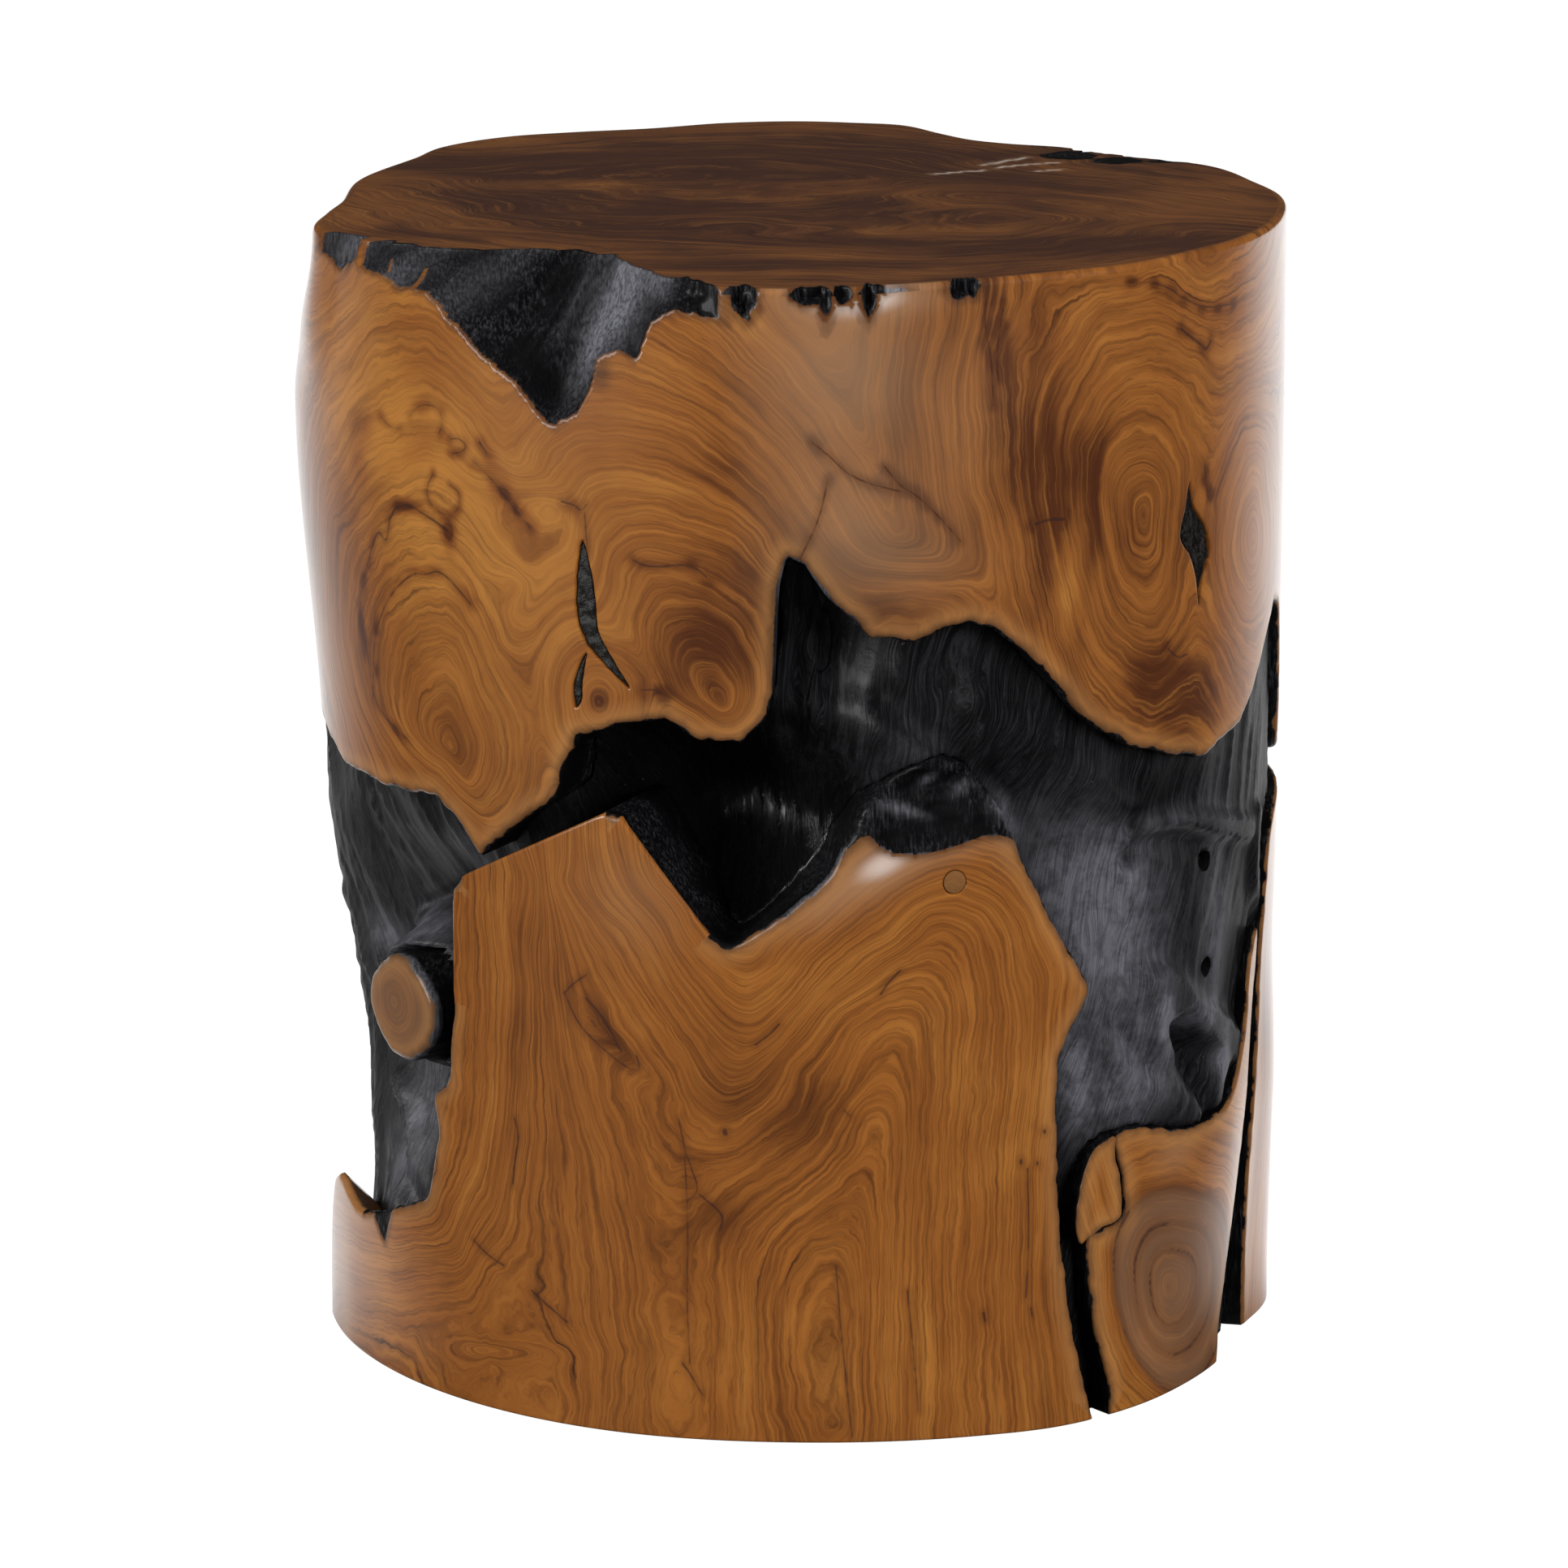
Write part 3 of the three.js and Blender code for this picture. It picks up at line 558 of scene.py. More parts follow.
class Shell:
    """A mesh in the making: points in mm, their attributes and triangles of point numbers."""

    def __init__(self, points, marks, triangles):
        self.points, self.count, self.faces = [], 0, [triangles]
        self.marks = {mark: [] for mark in MARKS}
        self.add(points, marks)

    def add(self, points, marks):
        """Adds points and returns their numbers."""
        self.points.append(points)
        for mark in MARKS:
            self.marks[mark].append(np.asarray(marks[mark], float) * np.ones(len(points)))
        self.count += len(points)
        return np.arange(self.count - len(points), self.count)

    def marks_of(self, numbers):
        """The attributes of some of the first points."""
        return {mark: self.marks[mark][0][numbers] for mark in MARKS}

    def join(self, last, ring, up=False):
        """Two triangles between each pair of neighbours on two rings."""
        after_last, after_ring = np.roll(last, -1), np.roll(ring, -1)
        one, other = (after_last, ring) if up else (ring, after_last)
        self.faces += [np.stack([last, one, after_ring], 1), np.stack([last, after_ring, other], 1)]

    def grow(self, last, points, marks, up=False):
        """Adds a ring, joins it to the last one and returns its numbers."""
        ring = self.add(points, marks)
        self.join(last, ring, up)
        return ring

    def close(self, ring, middle, up=False):
        """Triangles from a ring to one middle point."""
        first, second = (ring, np.roll(ring, -1)) if up else (np.roll(ring, -1), ring)
        self.faces.append(np.stack([first, second, np.full(len(ring), middle)], 1))

    def piece(self, name):
        """The finished mesh as a piece, without the points that no triangle uses."""
        points, faces = np.concatenate(self.points), np.concatenate(self.faces)
        used = np.unique(faces)
        renumber = np.full(len(points), -1)
        renumber[used] = np.arange(len(used))
        mesh = bpy.data.meshes.new(name)
        mesh.from_pydata((points[used] * MM).tolist(), [], renumber[faces].tolist())
        mesh.validate()
        mesh.update()
        for mark in MARKS:
            layer = mesh.attributes.new(mark, "FLOAT", "POINT")
            layer.data.foreach_set("value", np.concatenate(self.marks[mark])[used].astype(np.float32))
        mesh.polygons.foreach_set("use_smooth", [True] * len(mesh.polygons))
        piece = bpy.data.objects.new(name, mesh)
        bpy.context.collection.objects.link(piece)
        print(name, "has", len(mesh.polygons), "triangles")
        return piece


def round_off(distance, size):
    """How far a rounded rim of this size lies below the face."""
    gap = np.clip(size - distance, 0, size)
    return size - np.sqrt(np.maximum(size * size - gap * gap, 0))


print("every point carries", MARKS)

# %% [markdown]
# ## A block
# A block is a net wrapped round the drum with a rounded rim, walls that run in from the rim and a
# back. Its edge is charred where it is the root's own.

# %% Blocks
def block(name, rows, spacing, thickness, look, holes=(), lines=(), sawn_round=1.1, natural_round=2.6,
          wobble=0.5, black_edge=0.8, fall=None, bare=(0, 0)):
    """A wrapped block. Its look gives a sunk depth and the marks of places. Its walls slope down by
    the fall, and between the two azimuths of bare they keep the colour of the wood."""
    loop, sawn = outline(rows, wobble=wobble)
    loops = [loop] + [outline(hole, wobble=0.2)[0][::-1] for hole in holes]
    flags = np.concatenate([sawn] + [np.ones(len(hole), bool) for hole in loops[1:]])
    points, triangles = net(loops, spacing, lines=lines)
    border = np.concatenate(loops)
    starts = np.cumsum([0] + [len(each) for each in loops])
    found = [distance_to(points, each) for each in loops]
    gaps = np.array([gap for gap, _ in found])
    numbers = np.array([start + index for start, (_, index) in zip(starts, found)])
    closest = gaps.argmin(0), np.arange(len(points))
    gap, nearest = gaps[closest], numbers[closest]
    gap[:len(border)] = 0
    nearest[:len(border)] = np.arange(len(border))
    size = np.where(flags, sawn_round, natural_round)
    size = np.convolve(np.concatenate([size[-3:], size, size[:3]]), np.ones(7) / 7, "valid")[nearest]
    sunk, marks = look(points)
    natural = ~flags[nearest]
    arc, height = points.T
    brown = (arc > bare[0] * ARC) & (arc < bare[1] * ARC)
    marks["border"] = np.where(natural, gap, FAR)
    ragged = black_edge + 0.7 * rough(points, 5, 21)
    marks["char"] = np.where(natural & ~brown, np.maximum(marks["char"], ragged - gap), marks["char"])
    radius = drum_radius(arc / ARC, height) - round_off(gap, size) - sunk
    shell = Shell(wrap(arc, height, radius), marks, triangles)
    rim, last = radius[:len(border)], np.arange(len(border))
    edge = shell.marks_of(last)
    slope = 0.0 if fall is None else fall(border)
    for step in WALL_STEPS + (thickness,):
        level = np.maximum(border[:, 1] - slope * step, np.minimum(border[:, 1], SOLE))
        burnt = np.where(brown[:len(border)], BARE, SOOT)
        wall = {**edge, "grain": edge["grain"] + step * WALL_GRAIN, "char": burnt, "pale": 0.0}
        ring = shell.add(wrap(border[:, 0], level, rim - step), wall)
        for start, end in zip(starts[:-1], starts[1:]):
            shell.join(last[start:end], ring[start:end])
        last = ring
    back = grid(loop.min(0), loop.max(0), BACK_SPACING)
    back = back[within(back, loops) & (gap_to(back, loops) > BACK_SPACING / 2)]
    radius = drum_radius(back[:, 0] / ARC, back[:, 1]) - natural_round - thickness
    last = np.concatenate([last, shell.add(wrap(*back.T, radius), dict.fromkeys(MARKS, SOOT))])
    cap = triangulate(np.concatenate([border, back]), loops)
    shell.faces.append(last[cap][:, ::-1])
    return shell.piece(name)


print("a block has walls at depths", WALL_STEPS)

# %% [markdown]
# ## The crown block
# The crown is the thick top of the stump: a flat seat, a sanded flank, a ragged natural lower edge
# and a burnt hollow scooped out under the seat's front left edge. Its flank is one net round the
# whole drum. The seat goes on from the top of that net in rings, so the rim has no seam.

# %% Crown edges
SEAT_MARGIN = 3.0
CROWN_EDGE = [
    (-180, 0.6), (-166, 0.66), (-150, 0.7), (-138, 0.66), (-124, 0.61), (-108, 0.57), (-92, 0.555),
    (-80, 0.548), (-71, 0.529), (-57, 0.531), (-48, 0.533), (-43.5, 0.515), (-40.8, 0.493),
    (-37.5, 0.51), (-32.6, 0.54), (-29.5, 0.556), (-28, 0.59), (-26.6, 0.611), (-22, 0.623),
    (-15.7, 0.634), (-13, 0.617), (-7, 0.614), (-4, 0.633), (-3, 0.66), (-2.7, 0.74), (-1.6, 0.773),
    (0.4, 0.767), (4, 0.732), (8.1, 0.704), (13.2, 0.698), (17, 0.711), (20, 0.712), (23, 0.704),
    (29.1, 0.668), (35.3, 0.616), (38.4, 0.6), (42.1, 0.587), (48, 0.572), (56, 0.559), (60, 0.567),
    (65, 0.575), (69, 0.595), (73, 0.625), (78, 0.66), (82, 0.655), (86, 0.575), (90, 0.51), (101, 0.5),
    (113, 0.54), (126, 0.6), (140, 0.585), (153, 0.545), (166, 0.56),
]
HOLLOW_RIM = [
    (-180, 0), (-72, 0), (-66, 0.1), (-61, 0.2), (-56, 0.3), (-51, 0.45), (-45, 0.78), (-39, 1),
    (-31, 0.95), (-27, 0.78), (-21, 0.52), (-17, 0.24), (-13, 0.17), (-9, 0), (180, 0),
]
HOLLOW_FOOT = [
    (-180, 0.93), (-90, 0.93), (-72, 0.985), (-66, 0.973), (-62.5, 0.985), (-59, 0.978), (-52, 0.973),
    (-48, 0.972), (-44, 0.953), (-40, 0.933), (-35, 0.91), (-32, 0.891), (-29.1, 0.875), (-26.5, 0.889),
    (-24.6, 0.91), (-24, 0.936), (-21, 0.944), (-19, 0.94), (-17.5, 0.97), (-14, 0.982), (-8, 0.97),
    (10, 0.93), (180, 0.93),
]
HOLLOW_DEPTH = 51.0
HOLLOW_CURVE = 0.8
# Azimuths beyond which nothing of the hollow is burnt
HOLLOW_ENDS = (-72.5, -8.5)
crown_edge = round_table(CROWN_EDGE, smooth=False)
hollow_rim = round_table(HOLLOW_RIM, smooth=False)
hollow_foot = round_table(HOLLOW_FOOT, smooth=False)


def crown_edge_height(arc):
    """Height of the crown's lower edge, ragged as the real one."""
    places = np.stack([np.asarray(arc), np.zeros(len(arc))], 1)
    places[:, 0] = np.where(places[:, 0] > 180 * ARC - 12, places[:, 0] - 360 * ARC, places[:, 0])
    return crown_edge(np.asarray(arc) / ARC) * HEIGHT + 0.9 * rough(places, 9, 5)


# Small burnt pits along the front rim: picture point, half width, half height and depth in mm
RIM_PITS = [
    ((848, 360), 7.5, 6.0, 4.5), ((917, 366), 5.5, 8.0, 5.5), ((908, 352), 7.0, 3.5, 3.0),
    ((1000, 358), 7.5, 5.5, 5.0), ((1018, 368), 2.6, 8.0, 4.0), ((1040, 358), 4.6, 6.0, 4.5),
    ((1071, 362), 3.4, 8.0, 4.5), ((1075, 352), 6.0, 3.6, 3.0), ((1100, 349), 6.0, 1.8, 1.6),
    ((1189, 351), 7.5, 5.2, 4.6), ((828, 354), 3.0, 3.0, 2.5), ((388, 352), 1.8, 4.0, 2.5),
]
# Burnt chips in the seat's back right edge: picture point, half width and half depth in mm
SEAT_CHIPS = [((1317, 192), 10, 10), ((1376, 198), 9.5, 7), ((1434, 199), 8, 3), ((1300, 191), 7, 4)]
chip_places = cast([place for place, *_ in SEAT_CHIPS], seat=True)
chip_arcs = np.degrees(np.arctan2(chip_places[:, 0], -chip_places[:, 1])) * ARC
# Thin unburnt ridges between the pits at the hollow's left: half width in mm and picture points
HOLLOW_RIDGES = [
    (2.2, [(432, 283), (437, 310), (443, 332), (450, 345)]), (0.9, [(505, 336), (508, 352)]),
    (0.8, [(470, 322), (473, 334)]),
]
hollow_ridges = cast_lines(HOLLOW_RIDGES)
pit_places = np.concatenate([cast([place for place, *_ in RIM_PITS]),
                             np.stack([chip_arcs, np.full(len(chip_arcs), HEIGHT)], 1)])
pit_sizes = [row[1:] for row in RIM_PITS] + [(wide, 6.0, 3.0) for _, wide, _ in SEAT_CHIPS]


def crown_hollow(places):
    """How deep the crown's hollow and pits are sunk, and how far inside them a point lies."""
    arc, height = places.T
    azimuth = arc / ARC
    fringe = 1.5 * lumps(places * (1, 0.4), 6.5, 31) + 0.8 * lumps(places * (1, 0.4), 2.6, 32)
    foot = hollow_foot(azimuth) * HEIGHT + fringe
    rim = hollow_rim(azimuth)
    rise = np.clip((height - foot) / (HEIGHT - foot), 0, 1)
    beyond = np.minimum(azimuth - HOLLOW_ENDS[0], HOLLOW_ENDS[1] - azimuth) * ARC
    burnt = np.minimum(np.minimum(height - foot, (rim - 0.02) * 60), beyond)
    deep = smoothstep(0, 9, burnt)
    slant = np.stack([arc + 0.06 * (height - 410), height * 0.2], 1)
    facets = 4.6 * np.abs(lumps(slant, 13, 41)) + 2.4 * np.abs(lumps(slant, 5.5, 42))
    fibres = 0.6 * lumps(np.stack([arc, height * 0.1], 1), 1.9, 43) + 0.4 * lumps(places, 2.4, 44)
    sunk = HOLLOW_DEPTH * rim * rise ** HOLLOW_CURVE
    sunk = sunk + deep * np.minimum(rim * 4, 1) * (facets - 2.0 + fibres)
    sunk = sunk + 0.9 * smoothstep(0, 1.2, burnt)
    bare = near_lines(places, hollow_ridges, 5.0)
    sunk = np.maximum(sunk * (0.45 + 0.55 * smoothstep(0, 3.0, bare)), 0)
    burnt = np.minimum(burnt, bare * 1.2)
    for (arc0, height0), (wide, tall, depth) in zip(pit_places, pit_sizes):
        away = np.hypot((arc - arc0) / wide, (height - height0) / tall)
        near = away < 2
        inner = np.full(len(places), -9.0)
        ragged = 0.22 * lumps(places[near] * (1, 0.5), 2.2, 45)
        inner[near] = (1 - away[near] + ragged) * min(wide, tall)
        burnt = np.maximum(burnt, inner)
        floor = depth * (0.8 + 0.3 * lumps(places * (1, 0.3), 1.8, 46))
        sunk = sunk + smoothstep(0, 2.2, inner) * floor
    return sunk, burnt


hollow_middle = np.array([[-35 * ARC, 455.0]])
print("crown hollow sunk at its middle, mm:", np.round(crown_hollow(hollow_middle)[0], 1))

# %% [markdown]
# ## The crown's figure
# Three large eyes show on the flank, each a side root cut across. The strokes below lie along the
# grain between them. Open checks run beside the middle of the front, and a burl leaves dark blotches.

# %% Crown figure
CROWN_EYES = [
    ((556, 921), 27, [(458, 808), (465, 765), (489, 726), (515, 704), (541, 704), (567, 726),
        (586, 760), (610, 808), (636, 860), (649, 912), (645, 960), (627, 999), (606, 1020),
        (580, 1003), (554, 977), (523, 947), (489, 912), (465, 869)]),
    ((887, 864), 26, [(783, 804), (766, 743), (783, 700), (827, 693), (879, 713), (922, 756),
        (950, 804), (957, 851), (944, 895), (909, 916), (870, 903), (835, 873), (805, 847)]),
    ((738, 865), 7, [(718, 865), (724, 842), (738, 838), (754, 846), (760, 866), (754, 884), (738, 892),
        (724, 884)]),
    ((1410, 635), 24, [(1423, 492), (1370, 505), (1343, 540), (1334, 599), (1340, 660), (1352, 712),
        (1379, 779), (1423, 797), (1452, 760), (1458, 700), (1462, 620), (1456, 540)]),
    ((1544, 658), 8, [(1544, 600), (1530, 630), (1526, 660), (1532, 700), (1544, 720), (1556, 700),
        (1560, 660), (1556, 625)]),
]
CROWN_STROKES = [
    (45, [(412, 640), (420, 760), (440, 880), (470, 980)]),
    (32, [(640, 720), (655, 800), (668, 880), (668, 960), (650, 1010)]),
    (41, [(690, 640), (700, 740), (700, 860), (695, 960)]),
    (34, [(440, 800), (455, 730), (490, 680), (545, 675), (600, 720), (625, 790)]),
    (44, [(420, 760), (430, 690), (470, 630), (550, 620), (630, 650), (660, 740)]),
    (56, [(400, 640), (450, 560), (560, 540), (660, 580), (700, 660)]),
    (75, [(400, 480), (500, 520), (640, 560), (740, 560), (800, 520)]),
    (34, [(760, 900), (745, 830), (735, 760), (750, 690), (800, 660), (880, 670), (940, 710),
        (980, 770), (985, 840)]),
    (46, [(720, 760), (735, 650), (800, 620), (900, 630), (985, 690), (1010, 770)]),
    (60, [(970, 680), (1080, 710), (1190, 716), (1240, 760), (1330, 840), (1420, 900)]),
    (38, [(1350, 400), (1320, 470), (1310, 560), (1330, 680), (1350, 760), (1390, 830), (1440, 850),
        (1490, 830), (1520, 770)]),
    (46, [(1290, 350), (1262, 440), (1270, 540), (1300, 640), (1318, 760), (1360, 840), (1420, 885),
        (1480, 890)]),
    (54, [(1232, 345), (1212, 430), (1225, 520), (1262, 620), (1290, 720), (1310, 800)]),
    (68, [(1190, 400), (1165, 500), (1180, 600), (1220, 680)]),
    (34, [(1330, 520), (1350, 430), (1420, 400), (1480, 420)]),
    (44, [(1320, 430), (1370, 360), (1440, 345), (1500, 380), (1530, 420)]),
    (84, [(1120, 380), (1110, 480), (1140, 580), (1180, 650)]),
    (96, [(1050, 380), (1040, 480), (1070, 560), (1110, 640)]),
    (88, [(820, 380), (830, 480), (900, 560), (980, 620)]),
]
crown_plate = plate(cast_lines(CROWN_STROKES))
crown_eyes = cast_eyes(CROWN_EYES)


def stump_rings(places):
    """Growth rings of the whole stump round its crooked middle, for the sides without strokes."""
    space = wrap(*places.T, RADIUS)
    middle = np.stack([35 + 0.10 * space[:, 2], -70 + 0.12 * space[:, 2]], 1)
    return np.linalg.norm(space[:, :2] - middle, axis=1) * 1.15 + 15 * rough(space, (90, 90, 170), 73, 2)


def round_the_back(places, front_grain):
    """Blends the front's grain into the stump's rings at the sides, so that it closes at the back."""
    azimuth = places[:, 0] / ARC
    share = smoothstep(66, 96, np.abs(azimuth))
    sides = np.array([(-80 * ARC, 330.0), (80 * ARC, 330.0)])
    offsets = front_grain(sides) - stump_rings(sides)
    middle, swing = offsets.mean(), (offsets[1] - offsets[0]) / 2
    back = stump_rings(places) + middle + swing * np.sin(np.radians(azimuth))
    return (1 - share) * front_grain(places) + share * back


def crown_front_grain(places):
    fields = [np.maximum(crown_plate(places), 12)]
    fields += [eye(places, *each) for each in crown_eyes]
    return lower_of(fields)


def crown_grain(places):
    return round_the_back(places, crown_front_grain)


CROWN_TONES = [
    ((872, 800), 24, 25, 20, -1.05), ((560, 900), 16, 30, 12, -0.2), ((1400, 640), 24, 46, 0, -0.3),
    ((1440, 850), 34, 13, -10, -1.1), ((1258, 470), 13, 42, -8, -0.75),
    ((1305, 650), 10, 44, -18, -0.75), ((1310, 735), 8, 26, -12, 0.6), ((1340, 700), 5, 45, -10, -0.6),
    ((1236, 430), 6, 28, 5, -0.5), ((1255, 400), 6, 30, 5, 0.4), ((640, 620), 40, 30, 0, 0.35),
    ((510, 590), 50, 38, 0, 1.25), ((560, 820), 26, 34, 0, 0.35), ((1110, 790), 46, 15, 0, -0.5),
    ((700, 900), 9, 40, 0, 0.4), ((738, 863), 4.5, 4.5, 0, -1.1), ((660, 770), 12, 36, 0, 0.25),
    ((470, 950), 20, 20, 0, 0.2), ((560, 420), 60, 20, -30, 0.3), ((930, 700), 30, 12, 0, -0.3),
    ((430, 450), 40, 40, 0, 0.65), ((1100, 700), 34, 22, 0, -0.35), ((1050, 480), 34, 40, 0, -0.35),
    ((1130, 520), 24, 40, 0, -0.2), ((1060, 690), 30, 10, 10, -0.35), ((1480, 560), 10, 30, 0, 0.2),
    ((445, 527), 11, 7, 10, -1.1), ((440, 570), 6, 8, 0, -0.7), ((500, 625), 8, 3, 10, -1.6),
    ((553, 655), 4, 6, 0, -2.2), ((520, 545), 12, 10, 0, -0.5), ((465, 600), 14, 12, 0, -0.35),
    ((545, 600), 7, 10, 0, 0.5), ((622, 604), 4, 20, 32, -0.6), ((1290, 560), 20, 30, -20, -0.85),
    ((1440, 870), 30, 14, -10, -0.4),
]
# Pale spots on the flank, partly silvery wood and partly painted sheen. The strongest paints a white
# sheen below the front rim, and the negative spots calm the ring lines.
CROWN_PALE_AND_SHEEN_SPOTS = [
    ((1045, 450), 30, 38, 20, 0.95), ((1050, 640), 24, 20, -25, 0.6), ((1065, 368), 26, 7, 0, 1.5),
    ((960, 560), 30, 60, 10, 0.3), ((1180, 560), 18, 50, -15, 0.25), ((540, 520), 70, 44, 0, -0.95),
    ((690, 740), 26, 60, 0, -0.8), ((420, 780), 14, 60, 0, -0.7), ((760, 560), 38, 46, 0, -0.6),
    ((1544, 620), 14, 60, 0, -0.8), ((570, 830), 22, 40, 0, -0.35), ((1095, 700), 40, 16, 0, 0.35),
]
# A painted bluish-grey sheen on the facets of the burnt hollow
HOLLOW_PAINTED_SHEEN = [
    ((724, 378), 13, 17, 0, 1.5), ((690, 430), 7, 16, 0, 0.9), ((425, 312), 12, 9, 0, 0.45),
    ((480, 345), 14, 9, 0, 0.35), ((540, 360), 8, 14, 0, 0.2), ((790, 360), 8, 5, 0, 0.6),
    ((650, 380), 6, 14, 0, 0.3),
]
CROWN_VEINS = [
    (0.3, [(460, 860), (460, 790), (472, 750), (487, 725), (510, 705), (524, 709), (540, 702),
        (560, 720), (580, 745)]),
    (0.25, [(500, 910), (470, 880), (458, 850), (453, 800), (442, 760), (446, 720), (457, 680),
        (466, 650), (476, 672), (480, 640)]),
    (0.45, [(480, 640), (488, 624), (505, 622), (520, 632), (540, 645), (552, 655)]),
    (0.1, [(505, 512), (514, 501), (528, 498), (541, 504), (546, 520), (541, 534)]),
    (0.1, [(470, 514), (480, 526), (492, 528)]),
    (0.1, [(534, 584), (525, 600), (528, 618), (541, 632), (556, 636), (567, 624), (566, 606),
        (554, 597)]),
    (0.1, [(555, 541), (566, 540), (575, 549), (570, 557), (556, 559)]),
    (0.5, [(591, 545), (600, 560)]), (0.2, [(585, 570), (610, 595), (632, 625), (655, 652)]),
    (0.3, [(692, 618), (708, 622), (716, 630), (722, 622)]),
    (0.2, [(720, 630), (722, 655), (724, 680)]),
    (0.3, [(1218, 345), (1212, 400), (1222, 440), (1224, 500)]),
    (0.3, [(1236, 380), (1228, 430), (1230, 470)]),
    (0.5, [(1455, 405), (1480, 425), (1486, 432), (1492, 420)]),
    (0.25, [(1392, 348), (1430, 348), (1465, 372), (1490, 380), (1520, 374)]),
    (0.6, [(1276, 646), (1292, 640), (1312, 640)]), (0.3, [(1484, 572), (1486, 600), (1492, 610)]),
    (0.35, [(1440, 800), (1452, 812), (1462, 806)]),
    (0.2, [(1090, 575), (1110, 600), (1130, 610), (1160, 640), (1185, 668)]),
    (0.25, [(985, 690), (1010, 640), (1020, 590)]),
    (0.2, [(1000, 545), (1020, 560), (1050, 590), (1110, 606)]),
    (0.3, [(780, 690), (800, 700), (850, 694), (872, 712)]),
    (0.25, [(790, 850), (812, 850), (820, 862)]),
]
crown_vein_lines = cast_lines(CROWN_VEINS, soft=True)
# The wood is darker under the hollow's lowest point: half width and height in mm
DARK_PATCH = (8.0, 11.0)
dark_patch_place = cast([(738, 458)])[0]


def crown_look(places):
    sunk, burnt = crown_hollow(places)
    grain = crown_grain(places)
    tone = soft_spots(places, CROWN_TONES) + 0.12 * rough(wrap(*places.T, RADIUS), 60, 61)
    dark_patch = np.exp(-np.sum(((places - dark_patch_place) / DARK_PATCH) ** 2, 1))
    burnt = np.where(burnt < 0, np.maximum(burnt, -6.5 + 6.3 * dark_patch), burnt)
    # Pale spots on the flank: partly silvery wood, partly painted sheen
    pale = np.clip(soft_spots(places, CROWN_PALE_AND_SHEEN_SPOTS), -0.9, 1.9)
    # In the hollow the pale mark is a painted bluish-grey sheen
    pale = np.where(burnt > -0.8, np.clip(soft_spots(places, HOLLOW_PAINTED_SHEEN), 0, 1), pale)
    vein = near_lines(places, crown_vein_lines)
    tone = tone - 0.75 * np.exp(-(vein / 3.2) ** 2) * np.clip(0.5 + lumps(places, 6, 68), 0, 1.5)
    vein = vein + 0.5 * np.abs(lumps(places, 4.5, 66))
    return sunk, marked(grain, burnt, tone, pale, vein)


print("crown strokes:", len(CROWN_STROKES), "eyes:", len(CROWN_EYES))

# %% [markdown]
# ## Checks in the crown
# Two long cracks left of the middle and one beside the right eye are filled with black resin. Each
# filler is its own piece in a pocket of the crown, a little below the sanded face.

# %% Check outlines
CHECKS = {
    "check_filler_long": [
        (-25.3, 0.778), (-25.9, 0.776), (-26.5, 0.735), (-26.3, 0.712), (-25.4, 0.694),
        (-23.4, 0.678), (-20, 0.657), (-22.5, 0.687), (-23.8, 0.706), (-24.1, 0.735),
        (-24.8, 0.765),
    ],
    "check_filler_short": [
        (-25.2, 0.684), (-26.2, 0.672), (-27, 0.654), (-26.8, 0.636), (-26, 0.643), (-25.8, 0.66),
    ],
    "check_filler_eye": [
        (52.8, 0.803), (52, 0.782), (51.1, 0.758), (52.9, 0.739), (54.1, 0.719), (54.7, 0.693),
        (55.5, 0.717), (56.9, 0.733), (56.7, 0.751), (55.1, 0.769), (53.4, 0.784),
    ],
}
POCKET_DEPTH = 14.3
print("checks:", ", ".join(CHECKS), "with pockets", POCKET_DEPTH, "mm deep")

# %% [markdown]
# ## The seat
# The seat is sawn across the flow of the grain, so its figure is long loops. It is darker in the
# middle, chipped and burnt at its back right edge, and a little scratched.

# %% Seat
SEAT_STROKES = [
    (0, [(400, 285), (520, 305), (700, 322), (900, 340), (1100, 340)]),
    (14, [(420, 262), (520, 290), (700, 312), (900, 322), (1100, 325), (1300, 312), (1480, 285)]),
    (30, [(470, 240), (560, 275), (720, 292), (900, 300), (1100, 308), (1280, 300), (1420, 270),
        (1330, 248), (1200, 243)]),
    (46, [(520, 222), (620, 258), (760, 270), (940, 270), (1100, 280), (1230, 283), (1300, 268),
        (1230, 256), (1120, 258)]),
    (60, [(600, 225), (700, 240), (850, 250), (960, 247), (1040, 240), (1105, 223), (1060, 210),
        (960, 200), (800, 200), (640, 205)]),
    (84, [(560, 195), (700, 185), (900, 180), (1100, 190), (1250, 215), (1400, 230), (1540, 250)]),
    (104, [(600, 170), (800, 165), (1000, 160), (1180, 175), (1350, 200), (1500, 225)]),
]
SEAT_TONES = [
    ((700, 205), 60, 45, 0, -0.5), ((960, 262), 110, 40, 0, -0.45), ((1160, 195), 80, 34, 0, -0.5),
    ((1100, 300), 110, 18, 0, -0.5), ((425, 262), 34, 70, 0, 0.75), ((560, 306), 60, 20, 0, 0.75),
    ((900, 337), 70, 7, 0, 0.5), ((1480, 230), 50, 50, 0, 0.5), ((1060, 235), 44, 12, 0, 0.35),
    ((1380, 268), 50, 18, 0, 0.35), ((880, 225), 60, 8, 0, 0.3), ((1000, 318), 40, 6, 0, 0.3),
    ((470, 190), 30, 40, 0, 0.3), ((1240, 215), 24, 16, 0, -0.4), ((1300, 300), 50, 20, 0, -0.2),
]
SCRATCHES = [
    (0.5, [(1147, 215), (1180, 212), (1215, 210)]), (0.4, [(1212, 204), (1240, 198), (1266, 194)]),
    (0.5, [(1228, 207), (1262, 203), (1306, 200)]), (0.4, [(1275, 211), (1308, 209)]),
]
seat_plate = plate(cast_lines(SEAT_STROKES, seat=True))
scratch_lines = cast_lines(SCRATCHES, seat=True)


def cast_on_seat(points):
    """Picture points on the flat seat."""
    return cast(points, seat=True)


